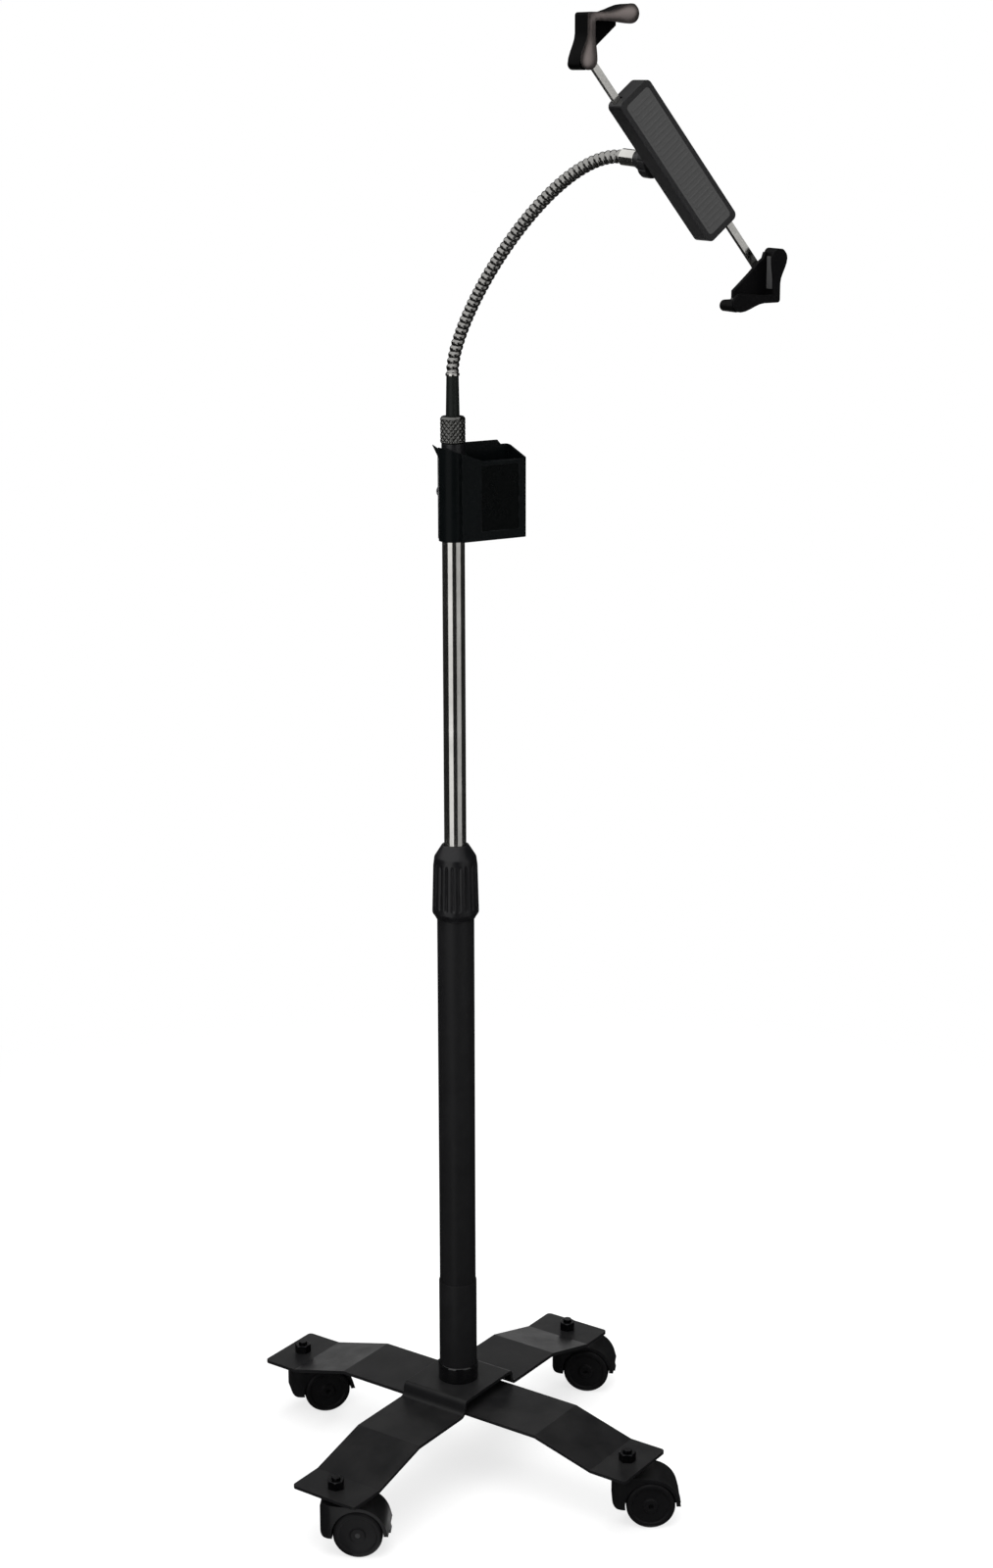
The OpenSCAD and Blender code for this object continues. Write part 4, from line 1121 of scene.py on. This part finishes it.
@dataclass
class Neck(Assembly):
    """Knurled nut, sleeve and the wound flexible neck."""

    lengths: int = 8
    radius: float = 0.0069
    pitch: float = 0.0068
    groove: float = 0.0013
    ring_bore: float = 0.0066
    ring_wall: float = 0.001
    ring_height: float = 0.003
    ring_edge: float = 0.0012
    foot_lead: float = 0.064
    tip_lead: float = 0.085
    tip_back: float = 0.034
    curve_steps: int = 600
    nut_radius: float = 0.0137
    nut_foot: float = 0.001
    nut_crown: tuple[float, float] = (0.0018, 0.0025)
    nut_bore: float = 0.00608
    nut_mouth: float = 0.0079
    nut_chamber: float = 0.0093
    nut_seat: float = 0.0187
    nut_lip: float = 0.006
    nut_edge: float = 0.0006
    nut_plain: float = 0.0012
    nut_margins: tuple[float, float] = (0.0012, 0.0028)
    nut_run: float = 0.0004
    nut_steps: int = 320
    nut_knurl: Tooling = Tooling(14.0, 1.8, 0.0012, 0.0008, 1020.0)

    def build(self) -> None:
        """Make the nut, the sleeve's ring and the wound stretches."""
        self.shop.dress(SLEEVE_RUBBER, Edge.CRISP, "neck_sleeve")
        self._nut()
        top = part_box("neck_sleeve")[1].z
        ring = pipe("sleeve_crimp_ring", (self.ring_bore, self.ring_bore + self.ring_wall),
                    (top - self.ring_height, top), self.ring_edge, PLAIN_TURN)
        self.shop.add(ring, POLISHED, "mast")
        self._wound()

    def _nut(self) -> None:
        """Turn the nut and press its crossed knurl."""
        low, high = (corner.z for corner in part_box("neck_nut"))
        tall = high - low
        r, bevel, (inset, drop) = self.nut_radius, self.nut_foot, self.nut_crown
        bore, mouth, chamber = self.nut_bore, self.nut_mouth, self.nut_chamber
        lip, seat = tall - self.nut_lip, self.nut_seat
        outline = [(bore, 0.0), (r - bevel, 0.0), (r, bevel), (r, tall - drop), (r - inset, tall),
                   (mouth, tall), (mouth, lip), (chamber, lip), (chamber, seat), (bore, seat)]
        plain = r - self.nut_plain
        outline = graded(eased(outline, self.nut_edge), self.nut_run, plain)
        blank = turned("nut_blank", outline, self.nut_steps)
        foot, crown = self.nut_margins
        rise = (foot, tall - crown)
        knurled = self.nut_knurl.press(self.shop, "knurled_neck_nut", NICKEL, blank, rise, plain)
        knurled.transform(Matrix.Translation((0.0, 0.0, low)))
        self.shop.add(smoothed(knurled, 50), NICKEL, "nut", "neck_nut")

    def _wound(self) -> None:
        """Wind the neck in stretches, one across each joint and one at each end."""
        swivel = self.shop.joints["ball_swivel"]
        tip = Vector(swivel["axis"]).normalized()
        start = Vector((0.0, 0.0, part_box("neck_sleeve")[1].z))
        end = Vector(swivel["pos_m"]) - tip * self.tip_back
        lift = start + Vector((0.0, 0.0, self.foot_lead))
        lead = end - tip * self.tip_lead

        def at(t: float) -> Vector:
            """Give a point of the neck's curve."""
            u = 1.0 - t
            return start * u ** 3 + lift * 3 * t * u * u + lead * 3 * t * t * u + end * t ** 3

        fine = [at(i / self.curve_steps) for i in range(self.curve_steps + 1)]
        grown = [0.0]
        for a, b in zip(fine, fine[1:]):
            grown.append(grown[-1] + (b - a).length)

        def point(length: float) -> Vector:
            """Give the curve's point at a length along it."""
            return fine[min(range(len(grown)), key=lambda n: abs(grown[n] - length))]

        part = grown[-1] / self.lengths
        marks = [0.0] + [part * (k + 0.5) for k in range(self.lengths)] + [grown[-1]]
        bodies = ["mast"] + [f"neck_{k}" for k in range(2, self.lengths + 1)]
        for k, (low, high) in enumerate(zip(marks, marks[1:])):
            mesh = self.shop.made(
                f"wound_neck_{k + 1}", self.shop.trees.wound, WOUND_STEEL, Start=start, Start_Handle=lift,
                End_Handle=lead, End=end, Across=tip.cross(UP).normalized(), From=low, To=high,
                Radius=self.radius, Pitch=self.pitch, Groove=self.groove)
            if k == 0:
                self.shop.add(mesh, WOUND_STEEL, bodies[0], "neck_1")
            elif k == self.lengths:
                self.shop.add(mesh, WOUND_STEEL, bodies[-1])
            else:
                piece = placed(mesh.name, mesh)
                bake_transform(piece)
                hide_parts(f"neck_{k + 1}")
                LOG.info("piece %s from %s to %s: %d faces", piece.name, bodies[k - 1], bodies[k],
                         len(mesh.polygons))


@dataclass
class BallJoint(Assembly):
    """Ferrule, cup, lock ring and ball stud."""

    def build(self) -> None:
        """Dress the joint's pieces."""
        self.shop.dress(POLISHED, Edge.CRISP, "neck_ferrule")
        self.shop.dress(CASE_SKIN, Edge.CRISP, "ball_cup")
        self.shop.dress(CASE_SKIN, Edge.EASED, "lock_ring")
        self.shop.dress(POLISHED, Edge.CRISP, "ball_stud")
        self.shop.dress(ZINC, Edge.CRISP, "stud_clip")


@dataclass
class Holder(Assembly):
    """Housing, rack arms, corner grips and clamp knob."""

    head_radius: float = 0.0029
    case_head: float = 0.0024
    grip_head: float = 0.002
    shaft_radius: float = 0.0015
    socket_flats: float = 0.0026
    socket_depth: float = 0.6
    socket_bevel: float = 0.0001
    head_foot: float = 0.0002
    head_bevel: float = 0.0004
    ribs: int = 25
    rib_pitch: float = 0.006
    rib_length: float = 0.026
    rib_half: float = 0.0013
    rib_height: float = 0.00035
    rib_root: float = 0.0002

    def build(self) -> None:
        """Dress the holder's pieces."""
        self.shop.dress(CASE_SKIN, Edge.FULL, "case_back", "case_front")
        self._screws("case_screws", "holder", 2, self.case_head)
        self.shop.dress(PAD_RUBBER, Edge.CRISP, "rest_pad")
        self._ribs()
        self.shop.dress(NYLON, Edge.CRISP, "pinion")
        self.shop.dress(CASE_SKIN, Edge.SOFT, "arm_knob")
        # The upper grip gets the soft touch with a painted lit front and dark sides; the lower grip the plain
        # one.
        for side, skin in (("upper", SOFT_TOUCH_PAINTED_LIT_FRONT), ("lower", SOFT_TOUCH)):
            self.shop.dress(POLISHED, Edge.CRISP, side + "_arm")
            self.shop.dress(skin, Edge.ROUND, side + "_grip")
            self.shop.dress(PAD_RUBBER, Edge.CRISP, side + "_pads")
            self._screws(side + "_grip_screw", side + "_reach", 1, self.grip_head)

    def _screws(self, node: str, body: str, count: int, head: float) -> None:
        """Make the socket screws of one node, whose heads face the back.

        Args:
            node: The node that they stand for.
            body: The body that they ride on.
            count: Number of screws, in a row that falls from the left.
            head: Height of a head.
        """
        low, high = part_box(node)
        r, shaft, long = self.head_radius, self.shaft_radius, high.y - low.y
        under, foot, bevel, rim = long - head, self.head_foot, self.head_bevel, self.socket_bevel
        first = Vector((low.x + r, low.y, high.z - r))
        last = Vector((high.x - r, low.y, low.z + r))

        def socket(angle: float) -> float:
            """Give the radius of the hexagon socket at an angle."""
            return hexagon(self.socket_flats, angle)

        rings: list[Ring] = [
            lambda a: (shaft, 0.0), lambda a: (shaft, under), lambda a: (r - foot, under),
            lambda a: (r, under + foot), lambda a: (r, long - bevel), lambda a: (r - bevel, long),
            lambda a: (socket(a) + rim, long), lambda a: (socket(a), long - rim),
            lambda a: (socket(a), long - self.socket_depth * head)]
        screw = ringed(node + "_blank", rings, HEX_TURN, capped=True)
        run = last - first
        row = self.shop.made(node + "_row", self.shop.trees.row_of, ZINC, screw, Count=count,
                             Spacing=run.length)
        right = run.normalized() if count > 1 else Vector((1.0, 0.0, 0.0))
        self._set(row, (first + last) / 2, right, Vector((0.0, 1.0, 0.0)))
        self.shop.add(smoothed(row), ZINC, body, node)

    def _ribs(self) -> None:
        """Mould a row of low ribs on the front of the rest pad."""
        low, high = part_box("rest_pad")
        half, wide, tall, root = self.rib_length / 2, self.rib_half, self.rib_height, -self.rib_root
        outline = [(-wide, root), (wide, root), (wide, 0.5 * tall), (0.5 * wide, tall), (-0.5 * wide, tall),
                   (-wide, 0.5 * tall)]
        count = len(outline)
        sides = [(i, count + i, count + (i + 1) % count, (i + 1) % count) for i in range(count)]
        ends = [tuple(range(count)), tuple(reversed(range(count, 2 * count)))]
        rib = new_mesh("rib_blank", [(x, y, z) for y in (-half, half) for x, z in outline], sides + ends)
        row = self.shop.made("rest_pad_ribs", self.shop.trees.row_of, PAD_RUBBER, rib, Count=self.ribs,
                             Spacing=self.rib_pitch)
        middle = Vector(((low.x + high.x) / 2, low.y, (low.z + high.z) / 2))
        along = Vector(self.shop.joints["upper_arm_slide"]["axis"]).normalized()
        self._set(row, middle, along, Vector((0.0, -1.0, 0.0)))
        self.shop.add(row, PAD_RUBBER, "holder")

    @staticmethod
    def _set(mesh: Mesh, place: Vector, right: Vector, out: Vector) -> None:
        """Move a mesh that was made flat into place.

        Args:
            mesh: The mesh.
            place: Where its middle goes.
            right: Where its X axis goes.
            out: Where its Z axis goes.
        """
        turn = Matrix((right, out.cross(right), out)).transposed().to_4x4()
        mesh.transform(Matrix.Translation(place) @ turn)


@dataclass(frozen=True)
class Softbox:
    """A soft lamp.

    Attributes:
        name: Its name.
        place: Where it hangs.
        aim: What it points at.
        size: Width and height.
        power: Power in watts.
    """

    name: str
    place: Point
    aim: Point
    size: tuple[float, float]
    power: float

    def hang(self) -> None:
        """Make the lamp."""
        lamp = bpy.data.lights.new(self.name, "AREA")
        lamp.shape = "RECTANGLE"
        lamp.size, lamp.size_y = self.size
        lamp.energy = self.power
        box = placed(self.name, lamp)
        box.location = self.place
        box.rotation_euler = (Vector(self.aim) - Vector(self.place)).to_track_quat("-Z", "Y").to_euler()
        box.visible_glossy = False


@dataclass(frozen=True)
class Card:
    """A curved card round the set that only reflections see.

    Attributes:
        name: Its name.
        middle: Direction of its middle in degrees.
        width: How far it reaches round, in degrees.
        shade: How pale it is.
        rise: Heights of its lower and upper edge.
    """

    name: str
    middle: float
    width: float
    shade: float
    rise: tuple[float, float] = (0.0, 0.0)

    def stand(self, radius: float = 2.2, steps: int = 12) -> None:
        """Stand the card upright round the mast.

        Args:
            radius: Its distance from the mast.
            steps: Flat pieces in its curve.
        """
        points = [(*spot, z) for spot in self._arc(radius, steps) for z in self.rise]
        self._show(points, [(2 * i, 2 * i + 1, 2 * i + 3, 2 * i + 2) for i in range(steps)])

    def lie(self, radius: float = 2.2, height: float = 0.004, steps: int = 48) -> None:
        """Lay the card round the mast's foot as a disc with a wedge left open instead.

        Args:
            radius: Its size.
            height: How far it lies above the floor.
            steps: Flat pieces in its rim.
        """
        rim = [(*spot, height) for spot in self._arc(radius, steps)]
        self._show([(0.0, 0.0, height), *rim], [(0, i + 1, i + 2) for i in range(steps)])

    def _arc(self, radius: float, steps: int) -> list[tuple[float, float]]:
        """Give the points of the card's curve.

        Args:
            radius: Radius of the curve.
            steps: Flat pieces in it.

        Returns:
            X and Y of each point.
        """
        start = self.middle - self.width / 2
        angles = [math.radians(start + self.width * i / steps) for i in range(steps + 1)]
        return [(radius * math.cos(a), radius * math.sin(a)) for a in angles]

    def _show(self, points: list[Point], faces: list[tuple[int, ...]]) -> None:
        """Turn points and faces into a matte card.

        Args:
            points: The card's points.
            faces: Its faces.
        """
        paint, bench = blank_material(self.name)
        felt = bench.first("ShaderNodeBsdfDiffuse", {"Color": (self.shade, self.shade, self.shade, 1.0)})
        bench.add("ShaderNodeOutputMaterial", {"Surface": felt})
        mesh = new_mesh(self.name, points, faces)
        mesh.materials.append(paint)
        card = placed(mesh.name, mesh)
        card.visible_camera = False
        card.visible_diffuse = False
        card.visible_shadow = False
        card.visible_transmission = False


@dataclass
class Studio:
    """Pale floor, soft light, cards for the polished tube to mirror, and the camera.

    Attributes:
        eye: Where the camera stands.
        ahead: Where it looks.
        roll: How far it is turned about its axis, in degrees.
        lens: Its focal length in millimetres.
        film: Width of its film in millimetres.
        sight: How far it sees.
        ambient: Strength of the light from all round.
        floor_reach: Half the floor's width.
        floor_shade: How pale the floor is.
        shadow_shade: How much of the light the floor shows, which leaves the shadow.
        floor_glow: What is added to that to make it white.
        fade: Distances from the mast over which the floor turns to plain white.
        lamps: The lamps.
        cards: The upright cards.
        floor_card: The card that lies on the floor.
    """

    eye: Point = (-1.4048, -2.4928, 1.6002)
    ahead: Point = (0.48788, 0.83386, -0.2582)
    roll: float = 0.1
    lens: float = 61.0
    film: float = 36.0
    sight: float = 60.0
    ambient: float = 0.45
    floor_reach: float = 14.0
    floor_shade: float = 0.8
    shadow_shade: float = 0.35
    floor_glow: float = 0.72
    fade: tuple[float, float] = (0.5, 1.6)
    lamps: tuple[Softbox, ...] = (
        Softbox("left_strip", (-3.1, -1.4, 1.7), (0.0, 0.0, 0.9), (1.5, 2.8), 46.0),
        Softbox("right_strip", (1.3, -3.1, 1.6), (0.0, 0.0, 0.9), (1.3, 2.6), 26.0),
        Softbox("rear_strip", (2.4, 1.9, 2.0), (0.1, 0.0, 0.4), (1.4, 2.4), 55.0),
        Softbox("overhead", (-0.5, -0.6, 3.4), (0.0, 0.0, 0.4), (2.6, 2.6), 66.0),
    )
    cards: tuple[Card, ...] = (
        Card("front_card", 247.5, 41.0, 0.02, (0.01, 1.75)),
        Card("side_card", 291.0, 46.0, 0.45, (0.01, 3.6)),
        Card("right_card", 0.0, 92.0, 0.02, (0.01, 3.6)),
        Card("rear_card", 62.0, 32.0, 0.02, (0.95, 3.6)),
        Card("back_card", 89.0, 22.0, 0.02, (0.01, 3.6)),
        Card("left_card", 141.0, 82.0, 0.02, (0.01, 1.75)),
    )
    floor_card: Card = Card("floor_card", 37.0, 350.0, 0.02)

    def build(self) -> None:
        """Set up the whole studio."""
        bpy.context.scene.view_settings.view_transform = "Standard"
        self._camera()
        self._world()
        self._floor()
        for card in self.cards:
            card.stand()
        self.floor_card.lie()
        for lamp in self.lamps:
            lamp.hang()

    def _camera(self) -> None:
        """Stand the camera where the photograph was taken from."""
        data = bpy.data.cameras.new("camera")
        data.lens = self.lens
        data.sensor_width = self.film
        data.clip_end = self.sight
        ahead = Vector(self.ahead).normalized()
        right = ahead.cross(UP).normalized()
        up = right.cross(ahead)
        turn = Matrix.Rotation(math.radians(self.roll), 3, ahead)
        camera = placed("camera", data)
        camera.matrix_world = Matrix((turn @ right, turn @ up, -ahead)).transposed().to_4x4()
        camera.location = self.eye
        bpy.context.scene.camera = camera

    def _world(self) -> None:
        """Light the set softly from all round, with a white background to look at."""
        world = bpy.data.worlds.new("studio")
        bpy.context.scene.world = world
        world.use_nodes = True
        world.node_tree.nodes.clear()
        bench = Bench(world.node_tree)
        soft, white = (bench.first("ShaderNodeBackground", {"Color": WHITE, "Strength": strength})
                       for strength in (self.ambient, 1.0))
        both = bench.first("ShaderNodeMixShader", {0: bench.direct(), 1: soft, 2: white})
        bench.add("ShaderNodeOutputWorld", {"Surface": both})

    def _floor(self) -> None:
        """Lay a pale floor that keeps the stand's shadow and runs out into white."""
        reach = self.floor_reach
        corners = [(-reach, -reach, 0.0), (reach, -reach, 0.0), (reach, reach, 0.0), (-reach, reach, 0.0)]
        mesh = new_mesh("floor", corners, [(0, 1, 2, 3)])
        paint, bench = blank_material("pale_floor")
        matte, shadow = (bench.first("ShaderNodeBsdfDiffuse", {"Color": (shade, shade, shade, 1.0)})
                         for shade in (self.floor_shade, self.shadow_shade))
        glow, white = (bench.first("ShaderNodeEmission", {"Color": WHITE, "Strength": strength})
                       for strength in (self.floor_glow, 1.0))
        near = bench.first("ShaderNodeAddShader", {0: shadow, 1: glow})
        away = bench.vector("LENGTH", bench.here())["Value"]
        out = bench.ramp(away, *self.fade, interpolation_type="SMOOTHSTEP")
        shown = bench.first("ShaderNodeMixShader", {0: out, 1: near, 2: white})
        both = bench.first("ShaderNodeMixShader", {0: bench.direct(), 1: matte, 2: shown})
        bench.add("ShaderNodeOutputMaterial", {"Surface": both})
        mesh.materials.append(paint)
        placed("floor", mesh)


def main() -> None:
    """Load the frame, set up the studio and build the stand."""
    logging.basicConfig(level=logging.INFO, format="%(name)s: %(message)s")
    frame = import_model()
    Studio().build()
    shop = Workshop(frame)
    for assembly in (Base, Casters, Mast, Neck, BallJoint, Holder):
        assembly(shop).build()
    bpy.context.view_layer.update()


if __name__ == "__main__":
    main()
